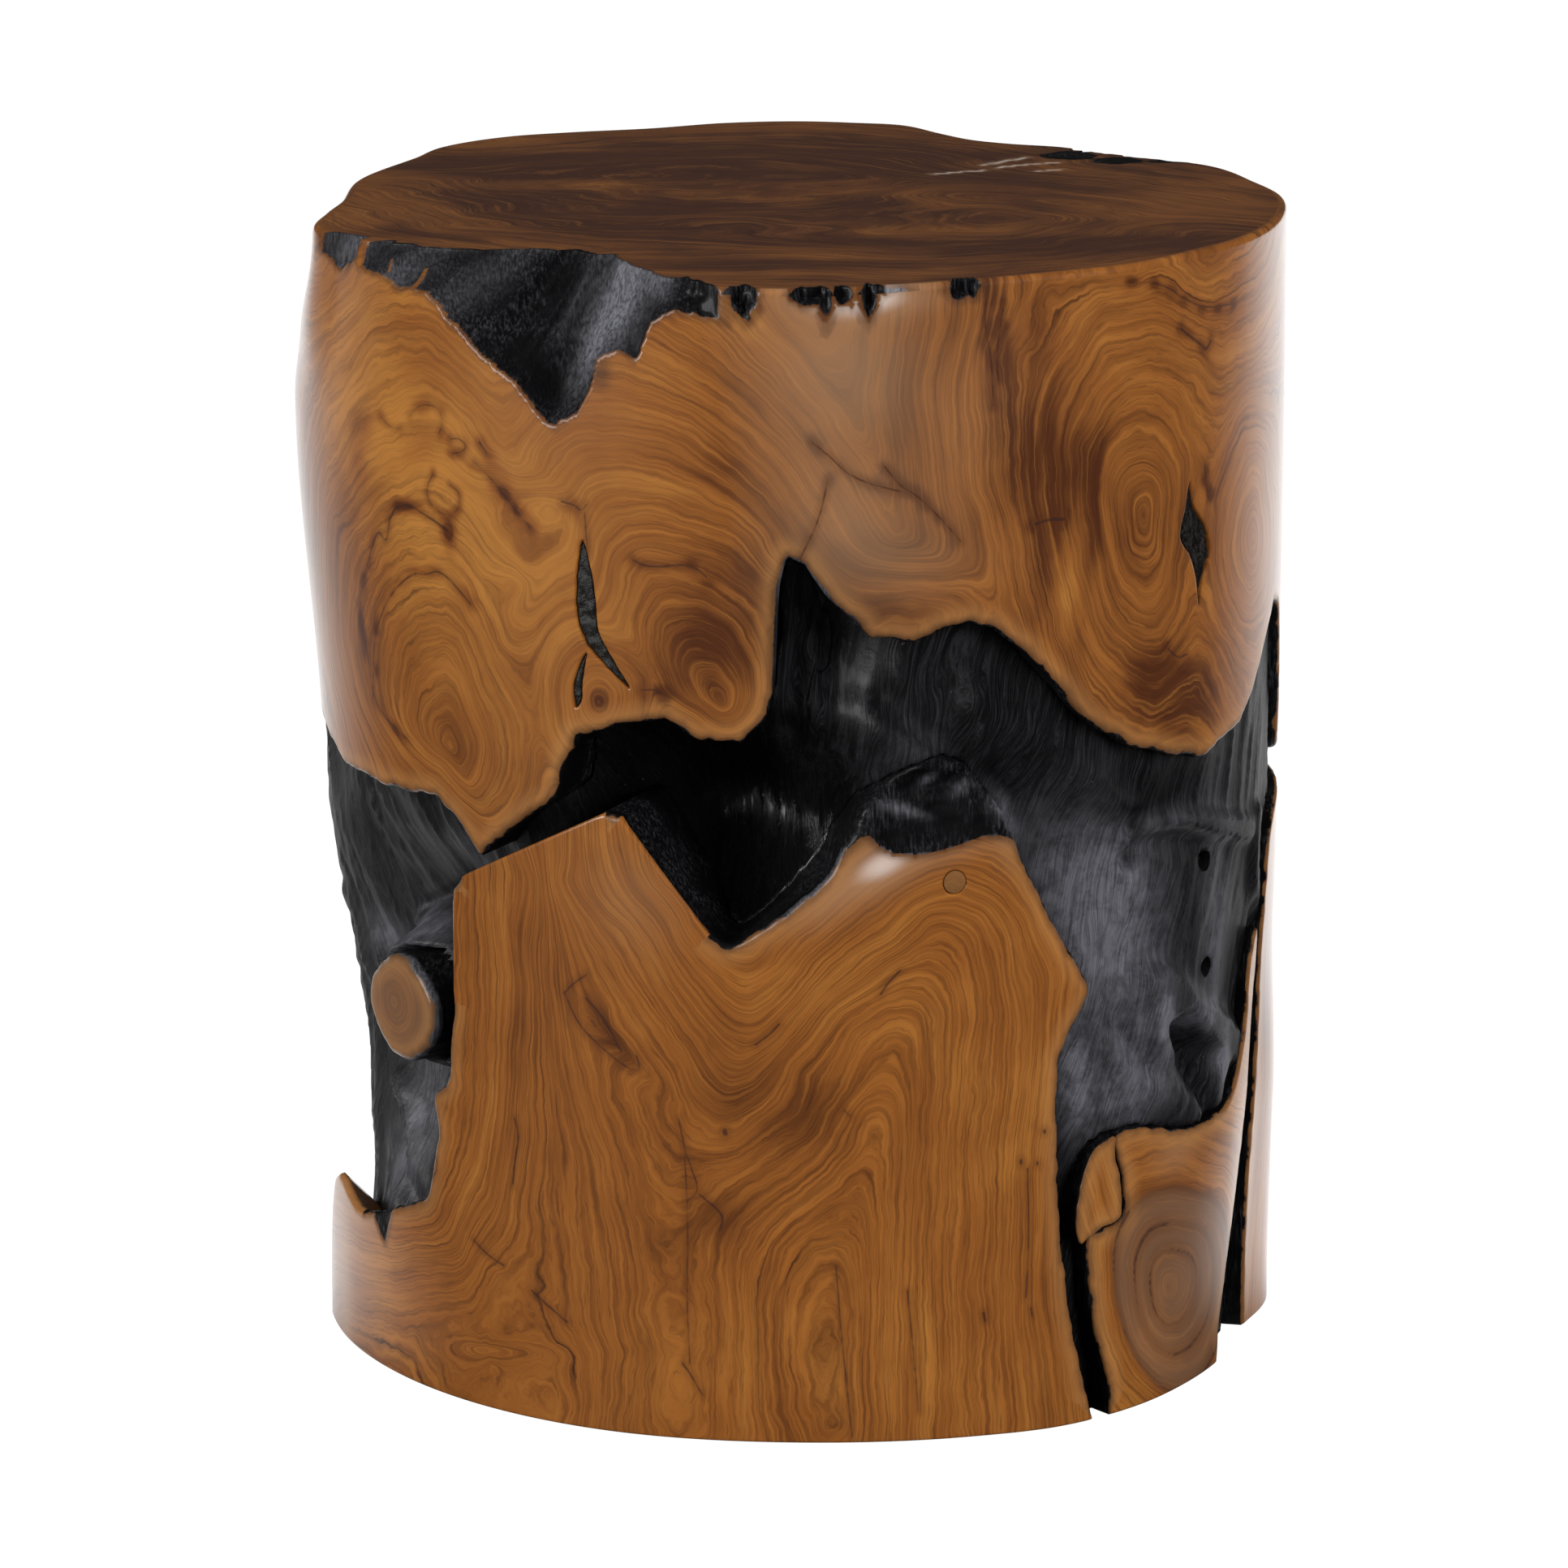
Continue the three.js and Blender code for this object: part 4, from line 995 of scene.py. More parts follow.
def seat_look(places, burnt):
    """Marks of the flat seat. It is cut across the flow of the grain, so long loops lie over it. It has
    chips, scratches and dark heartwood in its middle."""
    grain = seat_plate(places) + 5 * rough(places, (90, 40), 71, 2)
    tone = -0.52 + 0.32 * rough(places, (120, 45), 72, 2) + soft_spots(places, SEAT_TONES, cast_on_seat)
    char = burnt
    for middle, (_, wide, deep) in zip(chip_places, SEAT_CHIPS):
        away = np.linalg.norm((places - middle) / (wide, deep), axis=1)
        char = np.maximum(char, (1.1 - away + 0.2 * lumps(places, 4, 74)) * min(wide, deep))
    scratch = near_lines(places, scratch_lines, 6.0) + 0.7 * lumps(places, (5, 2.5), 75)
    return marked(grain, char, tone, 2.2 * smoothstep(2.2, 0.2, scratch))


print("seat strokes:", len(SEAT_STROKES))

# %% [markdown]
# ## The crown's mesh
# The flank's net is cut open at the back and sewn together there.

# %% Crown net
NECK = 116.3
ROOF = 365.0
FRONT_NET, BACK_NET, FINE_NET, SEAT_NET = 1.9, 3.2, 1.15, 3.4
NET_FLOOR = 200
# Arcs where the rows on the outline and the fill between them get coarser
FRONT_EDGE, HOLLOW_EDGE, FILL_EDGE = 85 * ARC, 26 * ARC, 88 * ARC
# The fine net lies over the hollow and the pits
FINE_LEFT, FINE_RIGHT, FINE_FOOT = -80 * ARC, 24 * ARC, 0.86 * HEIGHT
# The crown swells at its left shoulder: azimuth, share, half widths, and mm
SHOULDER = (-84, 0.925, 11, 0.045)
SHOULDER_SWELL = 3.5
LOWER_ROUND, POCKET_ROUND = 2.6, 0.8
# The seat's rim is rounded more where it isn't burnt away
RIM_ROUND, BURNT_RIM_ROUND = 2.4, 0.9


def crown_net():
    """The crown's flank as a net on the unrolled drum, with the outlines of its pockets."""
    half = 180 * ARC
    arcs = np.concatenate([
        np.arange(-half, -FRONT_EDGE, 2.8), np.arange(-FRONT_EDGE, HOLLOW_EDGE, OUTLINE_STEP),
        np.arange(HOLLOW_EDGE, FRONT_EDGE, FRONT_NET), np.linspace(FRONT_EDGE, half, 120),
    ])
    top = HEIGHT - SEAT_MARGIN
    low_arcs = np.concatenate([
        np.arange(-half, -FRONT_EDGE, 2.4), np.arange(-FRONT_EDGE, FRONT_EDGE, OUTLINE_STEP),
        np.linspace(FRONT_EDGE, half, 140),
    ])
    lower = np.stack([low_arcs, crown_edge_height(low_arcs)], 1)
    steps = np.linspace(0, 1, 60)[1:-1]
    seam_heights = lower[0, 1] + steps * (top - lower[0, 1])
    lower[-1, 1] = lower[0, 1]
    right = np.stack([np.full(len(steps), half), seam_heights], 1)
    upper = np.stack([arcs[::-1], np.full(len(arcs), top)], 1)
    left = np.stack([np.full(len(steps), -half), seam_heights[::-1]], 1)
    loop = np.concatenate([lower, right, upper, left])
    pockets = [outline(rows, wobble=0.2)[0][::-1] for rows in CHECKS.values()]
    coarse = grid((-half, NET_FLOOR), (half, top), BACK_NET)
    coarse = coarse[np.abs(coarse[:, 0]) > FILL_EDGE]
    middle = grid((-FILL_EDGE, NET_FLOOR), (FILL_EDGE, top), FRONT_NET)
    is_fine = (middle[:, 0] > FINE_LEFT) & (middle[:, 0] < FINE_RIGHT) & (middle[:, 1] > FINE_FOOT)
    middle = middle[~is_fine]
    fine = grid((FINE_LEFT, FINE_FOOT), (FINE_RIGHT, top), FINE_NET)
    extra = np.concatenate([coarse, middle, fine])
    points, triangles = net([loop] + pockets, FRONT_NET, extra, crown_vein_lines)
    return loop, pockets, points, triangles, (len(lower), len(right), len(upper))


print("the crown's nets are spaced", FRONT_NET, BACK_NET, FINE_NET, SEAT_NET, "mm")

# %% [markdown]
# ## From the net to the block
# The net is wrapped round the drum, less the hollow. A few rings bend its top edge over into the
# seat, others run in under the lower edge and up to the socket's roof.

# %% Crown mesh
# The rim bends over by turns in degrees. Steps in mm lead on to the seat, and in under the edge
RIM_TURNS = (0, 25, 50, 75, 90)
SEAT_STEPS = (1.2, 2.6, 4.4)
UNDER_STEPS = (1.5, 4, 9, 18, 34)


def make_crown():
    """The flank, then the rim and the seat on it, the underside with its socket and the pockets."""
    loop, pockets, points, triangles, (low_count, side_count, up_count) = crown_net()
    corner, end = low_count + side_count, low_count + side_count + up_count
    same = np.arange(len(points))
    same[low_count - 1:corner + 1] = np.append(0, np.arange(len(loop) - 1, end - 2, -1))
    arc, height = points.T
    sunk, marks = crown_look(points)
    below = distance_to(points, loop[:low_count], closed=False)[0]
    marks["border"] = np.clip(below, 0, FAR)
    marks["char"] = np.maximum(marks["char"], 0.9 + 0.8 * rough(points, 5, 22) - below)
    drop = round_off(np.maximum(below, 0), LOWER_ROUND) + round_off(gap_to(points, pockets), POCKET_ROUND)
    swell = SHOULDER_SWELL * bump(arc / ARC, height / HEIGHT, *SHOULDER)
    radius = drum_radius(arc / ARC, height) + swell - sunk - drop
    shell = Shell(wrap(arc, height, radius), marks, same[triangles])

    column = np.arange(corner, end - 1)[::-1]
    rim_arc = arc[column]
    size = np.where(sunk > 0.6, BURNT_RIM_ROUND, RIM_ROUND)[column]
    top_sunk, top_marks = crown_look(np.stack([rim_arc, np.full(len(column), HEIGHT)], 1))
    edge_radius = drum_radius(rim_arc / ARC, HEIGHT) - top_sunk
    last, flank = same[column], shell.marks_of(column)
    for turn in RIM_TURNS:
        angle = math.radians(turn)
        burnt = np.maximum(top_marks["char"], flank["char"]) - 1.6 * (turn / 90)
        down, inward = size * (1 - math.sin(angle)), size * (1 - math.cos(angle))
        ring = wrap(rim_arc, HEIGHT - down, edge_radius - inward)
        last = shell.grow(last, ring, {**flank, "char": burnt, "border": FAR}, up=True)
    for step in SEAT_STEPS:
        ring = wrap(rim_arc, HEIGHT, edge_radius - size - step)
        burnt = np.minimum(top_marks["char"] - 1.8 - step, 0.6 - step)
        last = shell.grow(last, ring, seat_look(ring[:, :2], burnt), up=True)
    seat_loop = ring[:, :2]
    fill = grid(seat_loop.min(0), seat_loop.max(0), SEAT_NET)
    fill = fill[inside(fill, seat_loop)]
    fill = fill[distance_to(fill, seat_loop)[0] > 1.8]
    added = shell.add(np.concatenate([fill, np.full((len(fill), 1), HEIGHT)], 1), seat_look(fill, BARE))
    seat = triangulate(np.concatenate([seat_loop, fill]), [seat_loop])
    shell.faces.append(np.concatenate([last, added])[seat])

    low = np.arange(low_count - 1)
    last, under = same[low], {**shell.marks_of(low), "char": SOOT}
    rings = [(height[low] + 0.12 * step, radius[low] - step) for step in UNDER_STEPS]
    rings += [(np.minimum(height[low] + 9, ROOF - 10), NECK), (ROOF, NECK)]
    for heights, radii in rings:
        last = shell.grow(last, wrap(arc[low], heights, radii), under)
    middle = shell.add(np.array([[0, 0, ROOF]]), {mark: np.ravel(under[mark])[:1] for mark in MARKS})
    shell.close(last, middle[0])

    first = len(loop)
    for pocket in pockets:
        ring = first + np.arange(len(pocket))
        first += len(pocket)
        wall = wrap(arc[ring], height[ring], radius[ring] - POCKET_DEPTH)
        wall = shell.grow(ring, wall, {**shell.marks_of(ring), "char": 3.0})
        shell.faces.append(wall[::-1][triangulate(pocket[::-1], [pocket[::-1]])])
    return shell.piece("crown")


crown = make_crown()
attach(crown, "root")
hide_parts("crown_block")

# %% [markdown]
# ## The sawn blocks
# The front block is the largest: its top left is sawn straight in two cuts, its notch and right side
# keep the root's own edge, and a burnt lump sits on its right shoulder. The right foot holds a whole
# side root in section, and a small patch is let into its corner. Two plain blocks stand at the back.

# %% Block outlines
SAWN = "sawn"
FRONT_BLOCK = [
    (-83.5, 0), (-83, 0.06), (-81.5, 0.1), (-79.4, 0.128), (-77, 0.144), (-75, 0.147), (-73, 0.144),
    (-70.6, 0.138), (-68, 0.133), (-65, 0.133), (-62.2, 0.139), (-59.5, 0.1455), (-56.8, 0.155),
    (-53.6, 0.164), (-50.6, 0.175), (-49.6, 0.202), (-48.5, 0.238), (-49, 0.267), (-46.4, 0.286),
    (-46.1, 0.317), (-45.2, 0.36, SAWN), (-45.1, 0.456), (-43.4, 0.472, SAWN), (-23.2, 0.547),
    (-21.2, 0.544, SAWN), (-10.7, 0.448), (-9.3, 0.441), (-7.5, 0.44), (-3.3, 0.46), (0.4, 0.48),
    (3.1, 0.499), (5.4, 0.53), (7.7, 0.557), (10.5, 0.574), (13.3, 0.587), (16.1, 0.594), (18.6, 0.591),
    (21, 0.583), (23.5, 0.56), (25.1, 0.538), (26.7, 0.504), (30.5, 0.451), (33.9, 0.409),
    (35.9, 0.385), (35.3, 0.368), (32, 0.332), (31.2, 0.29), (31.3, 0.19), (32.3, 0.111), (33.5, 0.066),
    (35.7, 0, SAWN),
]
RIGHT_FOOT = [
    (38.2, 0), (37.8, 0.03), (36, 0.075), (35.5, 0.107), (34.9, 0.1607), (37.2, 0.1657), (40.1, 0.173),
    (40.7, 0.184), (40.4, 0.21), (39.6, 0.229), (39.7, 0.2465), (44.2, 0.248), (48.5, 0.239),
    (53.3, 0.23), (58.7, 0.231), (63.1, 0.234), (66.3, 0.252), (68.2, 0.271), (69.9, 0.297),
    (71.2, 0.35), (73.6, 0.375), (74.3, 0.35), (73, 0.297), (71.9, 0.24), (70, 0.177), (67.3, 0.124),
    (65, 0.083), (63, 0.043), (62, 0, SAWN),
]
FOOT_PATCH = [
    (33.8, 0.16), (33.3, 0.183), (34.2, 0.211), (35.3, 0.231), (36.8, 0.243), (39.3, 0.246),
    (39.2, 0.229), (40, 0.21), (40.3, 0.184), (39.8, 0.174), (37.2, 0.168), (34.9, 0.163),
]
REAR_RIGHT = [
    (77.5, 0), (76.5, 0.1), (76, 0.2), (76.5, 0.3), (77, 0.4), (78.5, 0.455), (84, 0.475), (95, 0.482),
    (108, 0.468), (118, 0.43), (124, 0.36), (127, 0.25), (126, 0.12), (129, 0, SAWN),
]
REAR_LEFT = [
    (-123, 0), (-125, 0.06), (-124, 0.12), (-121, 0.17), (-116, 0.23), (-111, 0.3), (-108, 0.36),
    (-111, 0.42), (-119, 0.45), (-132, 0.43), (-140, 0.36), (-152, 0.33), (-163, 0.37), (-172, 0.3),
    (-174, 0.18), (-170, 0.08), (-172, 0, SAWN),
]
print("the front block's outline has", len(FRONT_BLOCK), "corners")

# %% [markdown]
# ## The front block's figure
# Its strokes bend down to a deep point in the middle, with small eyes at the left and below. A burnt
# lump lies above the char line at the right shoulder, and the horn's end is burnt too.

# %% Front block figure
FRONT_STROKES = [
    (6, [(572, 1095), (568, 1200), (562, 1320), (550, 1420), (530, 1480)]),
    (14, [(600, 1090), (600, 1220), (595, 1350), (580, 1450), (540, 1520), (480, 1530), (440, 1510)]),
    (24, [(628, 1090), (632, 1220), (625, 1350), (610, 1470), (565, 1550), (490, 1565), (430, 1545)]),
    (36, [(660, 1085), (655, 1180), (650, 1300), (645, 1420), (630, 1520), (570, 1600), (490, 1610),
        (420, 1590)]),
    (50, [(690, 1260), (700, 1350), (715, 1450), (735, 1560), (745, 1680), (740, 1770)]),
    (62, [(745, 1350), (770, 1420), (790, 1500), (805, 1600), (810, 1740)]),
    (74, [(690, 1085), (730, 1160), (780, 1240), (830, 1320), (880, 1380), (925, 1370), (975, 1310),
        (1035, 1240), (1110, 1190), (1160, 1180), (1185, 1230), (1180, 1330), (1170, 1450),
        (1168, 1600), (1170, 1755)]),
    (82, [(715, 1075), (760, 1150), (810, 1230), (855, 1300), (900, 1345), (950, 1310), (1010, 1240),
        (1080, 1180), (1150, 1130), (1200, 1140), (1222, 1210), (1218, 1330), (1208, 1450),
        (1206, 1600), (1212, 1750)]),
    (92, [(745, 1065), (790, 1140), (835, 1215), (880, 1275), (915, 1300), (960, 1270), (1020, 1200),
        (1090, 1150), (1140, 1110), (1200, 1105), (1245, 1160), (1260, 1260), (1252, 1380),
        (1243, 1500), (1245, 1640), (1255, 1745)]),
    (104, [(775, 1060), (820, 1130), (870, 1200), (912, 1240), (950, 1225), (1000, 1170), (1060, 1120),
        (1130, 1075), (1200, 1065), (1260, 1110), (1300, 1200), (1290, 1320), (1278, 1450),
        (1275, 1600), (1290, 1735)]),
    (114, [(805, 1075), (850, 1140), (895, 1185), (930, 1190), (965, 1160), (1010, 1120)]),
    (62, [(1000, 1400), (1060, 1300), (1110, 1260), (1130, 1330), (1125, 1450), (1125, 1600),
        (1125, 1760)]),
    (50, [(1060, 1420), (1085, 1380), (1090, 1500), (1085, 1640), (1085, 1765)]),
    (40, [(1050, 1600), (1045, 1765)]), (56, [(900, 1560), (900, 1765)]),
    (40, [(560, 1700), (700, 1740)]),
]
FRONT_EYES = [
    ((733, 1262), 5, [(697, 1220), (712, 1222), (740, 1248), (768, 1285), (792, 1318), (775, 1312),
        (735, 1292), (706, 1248)]),
    ((596, 1663), 8, [(540, 1660), (570, 1645), (600, 1642), (650, 1655), (700, 1668), (650, 1682),
        (600, 1684), (560, 1678)]),
    ((893, 1395), 4, [(885, 1395), (893, 1387), (902, 1395), (893, 1404)]),
]
FRONT_TONES = [
    ((748, 1270), 7, 20, 42, -0.95), ((905, 1270), 20, 40, 0, -0.1), ((900, 1360), 50, 16, 0, -0.2),
    ((540, 1420), 12, 40, 0, -0.35), ((640, 1180), 8, 50, 0, -0.15), ((880, 1500), 16, 10, 30, -0.5),
    ((1150, 1650), 40, 60, 0, 0.25), ((470, 1590), 34, 30, 0, 0.7), ((1000, 1240), 30, 30, -40, 0.25),
    ((1000, 1400), 34, 40, 0, -0.5), ((900, 1700), 60, 22, 0, 0.15), ((1225, 1380), 26, 60, 0, 0.6),
    ((560, 1330), 16, 60, 0, 0.2), ((780, 1180), 22, 40, 35, 0.25), ((990, 1500), 20, 26, 0, 0.2),
    ((640, 1530), 20, 8, 0, -0.3), ((1015, 1150), 26, 6, 25, -0.3), ((600, 1650), 50, 14, -5, -0.15),
]
# Pale spots on the front block, partly pale wood and partly painted sheen; the two strongest paint a
# white sheen on the right shoulder
FRONT_PALE_AND_SHEEN_SPOTS = [
    ((1088, 1062), 13, 8, 25, 1.0), ((1072, 1078), 24, 10, 25, 0.75), ((1010, 1118), 16, 8, 30, 0.5),
    ((1170, 1050), 26, 5, 10, 0.5), ((780, 1110), 22, 20, -40, 0.35), ((425, 1600), 10, 60, 0, 0.8),
    ((535, 1230), 4, 30, 0, 0.4), ((1240, 1040), 6, 10, 0, 0.4),
]
# Painted grey highlights on the ridges of the burnt lump
LUMP_PAINTED_HIGHLIGHTS = [
    ((1152, 967), 4, 2, 30, 0.5), ((1194, 975), 5, 2, 30, 0.4), ((1110, 1000), 6, 2, -20, 0.6),
    ((1135, 1007), 5, 1.5, -20, 0.35), ((1235, 995), 4, 4, -20, 0.4), ((1249, 1015), 2, 10, 20, 0.7),
    ((1264, 1050), 1.8, 12, 20, 0.5),
]
FRONT_VEINS = [
    (0.5, [(722, 1230), (742, 1252), (760, 1285), (766, 1296)]),
    (0.25, [(697, 1222), (706, 1212), (724, 1200)]),
    (0.25, [(695, 1222), (712, 1262), (740, 1290), (775, 1318), (790, 1319), (784, 1300)]),
    (0.9, [(893, 1393), (894, 1397)]),
    (0.25, [(836, 1378), (842, 1410), (852, 1440), (862, 1468), (846, 1480)]),
    (0.35, [(862, 1472), (882, 1488), (892, 1500), (886, 1518)]),
    (0.3, [(960, 1262), (948, 1275), (930, 1288)]),
    (0.4, [(634, 1378), (640, 1400), (634, 1430), (632, 1460)]),
    (0.3, [(583, 1527), (600, 1546), (622, 1560)]), (0.4, [(655, 1590), (672, 1606), (700, 1630)]),
    (0.3, [(841, 1680), (852, 1695), (866, 1720)]),
    (0.2, [(842, 1400), (848, 1500), (846, 1600), (850, 1680)]),
    (0.2, [(1118, 1590), (1125, 1660), (1132, 1740)]),
    (0.25, [(1266, 1440), (1268, 1520), (1264, 1600)]), (0.5, [(1258, 1430), (1258, 1434)]),
    (0.5, [(1278, 1432), (1278, 1435)]), (0.5, [(1287, 1393), (1287, 1396)]),
    (0.45, [(1270, 1612), (1272, 1622)]), (0.45, [(1212, 1618), (1214, 1628)]),
    (0.25, [(535, 1420), (540, 1440), (532, 1452)]), (0.3, [(1040, 1368), (1048, 1376)]),
    (0.2, [(1030, 1560), (1036, 1640), (1050, 1770)]),
    (0.3, [(1085, 1225), (1095, 1210), (1110, 1195)]),
]
CHAR_LINE = [
    (5.4, 0.523), (6.8, 0.533), (7.9, 0.535), (9.1, 0.525), (10.5, 0.519), (13.3, 0.516), (16.2, 0.518),
    (19.1, 0.523), (21.6, 0.528), (23.6, 0.527), (25.1, 0.523),
]
EYE_BASES = (58, 28, 72)
front_plate = plate(cast_lines(FRONT_STROKES))
front_eyes = cast_eyes(FRONT_EYES)
front_vein_lines = cast_lines(FRONT_VEINS, soft=True)
# The lump's area goes from the char line up past the block's top edge
LUMP_TOP = [(29, 0.5), (29, 0.62), (2, 0.62)]
HORN_AREA = [(455, 1468), (462, 1500), (474, 1531), (478, 1512), (482, 1493), (492, 1480), (480, 1468)]
lump_area = np.array([(2, 0.56)] + CHAR_LINE + LUMP_TOP) * (ARC, HEIGHT)
horn_area = cast(HORN_AREA)


def front_look(places):
    """The block's figure with its three eyes, its burnt lump and the burnt end of its horn."""
    grain = front_plate(places)
    for each, base in zip(front_eyes, EYE_BASES):
        field = eye(places, *each) + base
        local = np.exp(-np.maximum(field - base, 0) / 5.0)
        grain = grain * (1 - local) + field * local
    lump = polygon_depth(places, lump_area)
    horn = polygon_depth(places, horn_area)
    ridges = 1.6 * np.abs(lumps(places, (14, 4.5), 51)) + 0.7 * lumps(places, (6, 2.2), 52)
    burnt = np.clip(lump, 0, 45)
    sunk = smoothstep(0, 4, lump) * (1.0 + 0.012 * burnt ** 2 + 0.12 * burnt + ridges)
    sunk = sunk + smoothstep(0, 3, horn) * 1.5
    tone = soft_spots(places, FRONT_TONES) + 0.12 * rough(places, 55, 62)
    dark_rim = np.exp(-np.clip(-lump, 0, 60) / 5.0) * (lump < 0)
    tone = tone - 0.8 * dark_rim
    # The pale mark paints grey highlights on the lump, and pale wood and painted sheen on the face
    pale = np.where(lump > -0.6, soft_spots(places, LUMP_PAINTED_HIGHLIGHTS), soft_spots(places, FRONT_PALE_AND_SHEEN_SPOTS))
    vein = near_lines(places, front_vein_lines) + 0.4 * np.abs(lumps(places, 4.5, 67))
    return sunk, marked(grain, np.maximum(lump, horn), tone, np.clip(pale, 0, 1.9), vein)


PLUG_PLACE = (18.1, 0.49)
PLUG_DIAMETER = 9.0
HOLE_RADIUS = PLUG_DIAMETER / 2 + 0.2
CIRCLE = np.linspace(0, 2 * math.pi, 24, endpoint=False)
PLUG_HOLE = [
    (PLUG_PLACE[0] + HOLE_RADIUS * math.cos(a) / ARC, PLUG_PLACE[1] + HOLE_RADIUS * math.sin(a) / HEIGHT)
    for a in CIRCLE
]


def notch_fall(places):
    """The floor of the left notch slopes down behind the horn, so that daylight shows over it."""
    azimuth, share = places[:, 0] / ARC, places[:, 1] / HEIGHT
    return 1.05 * between(-83, -80, -57, -52, azimuth) * between(0.08, 0.12, 0.17, 0.2, share)


front = block("front", FRONT_BLOCK, 1.9, 50, front_look, holes=[PLUG_HOLE], lines=front_vein_lines,
              sawn_round=0.9, fall=notch_fall, bare=(-85, -66.6))
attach(front, "root")
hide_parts("front_block")

# %% [markdown]
# ## Foot, patch and rear blocks
# The foot's face is cut straight across a side root, so it shows one large dark oval of rings.

# %% Foot, patch and rear blocks
FOOT_EYE = ((1440, 1585), 24, [
    (1372, 1580), (1376, 1520), (1400, 1480), (1440, 1465), (1480, 1470), (1510, 1500), (1515, 1560),
    (1508, 1630), (1485, 1690), (1445, 1715), (1410, 1690), (1384, 1640),
])
FOOT_RINGS = (9.0, 15.5, 23.6)
FOOT_SHEEN = [((1430, 1603), 6, 9, 0, 0.45)]
# A painted whitish sheen on the foot's top
FOOT_TOP_SHEEN = [((1450, 1420), 16, 9, 0, 0.6)]
foot_eye = cast_eyes([FOOT_EYE])[0]


def foot_look(places):
    grain = eye(places, *foot_eye)
    oval = smoothstep(25.2, 22.5, grain)
    tone = -0.95 * oval + 0.45 * smoothstep(24, 30, grain) + 0.12 * rough(places, 40, 63)
    tone = tone - 0.35 * np.exp(-((grain - 23.4) / 1.6) ** 2) + soft_spots(places, FOOT_SHEEN)
    rings = [np.abs(grain - level) - 0.05 + 0.7 * np.maximum(lumps(places, 22, 64 + index), -0.4)
             for index, level in enumerate(FOOT_RINGS)]
    # The oval is greyer wood, and the spot on the top is a painted sheen
    pale = 0.55 * oval + soft_spots(places, FOOT_TOP_SHEEN)
    return 0.0, marked(grain, tone=tone, pale=pale, vein=np.minimum.reduce(rings))


def patch_look(places):
    return 0.0, marked(0.9 * places[:, 0] + 0.35 * places[:, 1], tone=0.3)


def rear_look(places):
    grain = places[:, 0] + 16 * rough(places, (60, 150), 65, 2)
    return 0.0, marked(grain, tone=0.25 * rough(places, 70, 66))


for name, rows, node, look, spacing, thickness in (
    ("foot", RIGHT_FOOT, "right_foot", foot_look, 1.9, 50),
    ("patch", FOOT_PATCH, "foot_patch", patch_look, 1.5, 46),
    ("rear_right", REAR_RIGHT, "rear_right_block", rear_look, 3.2, 50),
    ("rear_left", REAR_LEFT, "rear_left_block", rear_look, 3.2, 50),
):
    rounded = 0.6 if name == "patch" else 1.2
    piece = block(name, rows, spacing, thickness, look, natural_round=rounded, black_edge=-0.1)
    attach(piece, "root")
    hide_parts(node)

# %% [markdown]
# ## Fillers
# Black resin was run into the checks and has sunk and cracked a little while it set. Each filler fits
# its pocket with a rough face just below the wood.

# %% Fillers
def filler_look(places):
    sunk = 0.9 + 0.5 * lumps(places, 3.2, 67) + 0.35 * lumps(places, 1.4, 68)
    return sunk, marked(places[:, 0], SOOT)


for node, rows in CHECKS.items():
    middle = np.mean(rows, 0)
    drawn_in = [tuple(middle + (np.array(row) - middle) * (0.96, 0.985)) for row in rows]
    name = node.replace("check_filler", "filler")
    piece = block(name, drawn_in, 0.9, 13, filler_look, natural_round=0.8, wobble=0.15)
    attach(piece, "root")
    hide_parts(node)

# %% [markdown]
# ## The charred root
# The root is the stool's heart. It shows black between the blocks: fibrous flanks, a deep glossy cave
# at the front, a cut branch on the left and a knob with a socket on the right. It is one fine shell
# whose radius follows the drum, less the CAD model's hollows, with bark ridges and fibres on top. It
# steps in behind every block, and up inside the crown, so the blocks are scribed to it.

# %% Root table
ROOT_INSET = 11.0
ROOT_DEPTH = 70.0
BLOCK_SEAT = 52.0
ROOT_HOLLOWS = [
    (-11, 0.53, 27, 0.135, 1), (3, 0.69, 10, 0.1, 0.23), (-50, 0.29, 42, 0.3, 0.6),
    (-104, 0.1, 30, 0.34, 0.4), (-57, 0.336, 15, 0.08, -0.5), (28, 0.47, 16, 0.16, 0.2),
    (50, 0.335, 9, 0.06, -0.12), (58, 0.315, 5, 0.045, 0.05), (76, 0.28, 4, 0.2, 0.31),
    (158, 0.3, 30, 0.42, 0.63), (-145, 0.56, 34, 0.12, 0.43), (118, 0.52, 26, 0.08, 0.31),
]
STUB_PLACE = (-56.2, 0.336)
STUB_OUTLINE = [
    (-56 + 7.0 * math.cos(a) + 0.4 * math.cos(3 * a),
     0.336 + 0.047 * math.sin(a) + 0.002 * math.sin(2 * a))
    for a in CIRCLE
]
DEPTH_CAP = 12.0


def block_depth(places, rows):
    """How far each place lies inside a block's outline, capped either way."""
    loop = outline(rows)[0]
    depth = np.full(len(places), -DEPTH_CAP)
    near = np.all((places > loop.min(0) - DEPTH_CAP) & (places < loop.max(0) + DEPTH_CAP), axis=1)
    found = distance_to(places[near], loop)[0]
    depth[near] = np.where(inside(places[near], loop), found, -found)
    return np.clip(depth, -DEPTH_CAP, DEPTH_CAP)


def root_recess(arc, height):
    """How far the natural root lies inside the drum, without its blocks."""
    azimuth, share = arc / ARC, height / HEIGHT
    total = np.zeros(len(arc))
    for middle, level, wide, tall, depth in ROOT_HOLLOWS:
        turned = (azimuth - middle + 180) % 360 - 180
        inside_bump = np.maximum(0, 1 - (turned / wide) ** 2 - ((share - level) / tall) ** 2)
        total += depth * inside_bump ** 2
    return ROOT_INSET + ROOT_DEPTH * total


print("root hollows:", len(ROOT_HOLLOWS))

# %% [markdown]
# ## The root's surface
# The surface is the drum less the hollows, with bark ridges, folds along picture lines, a toe, a
# collar round the branch stub, seats for the blocks and a neck for the crown.

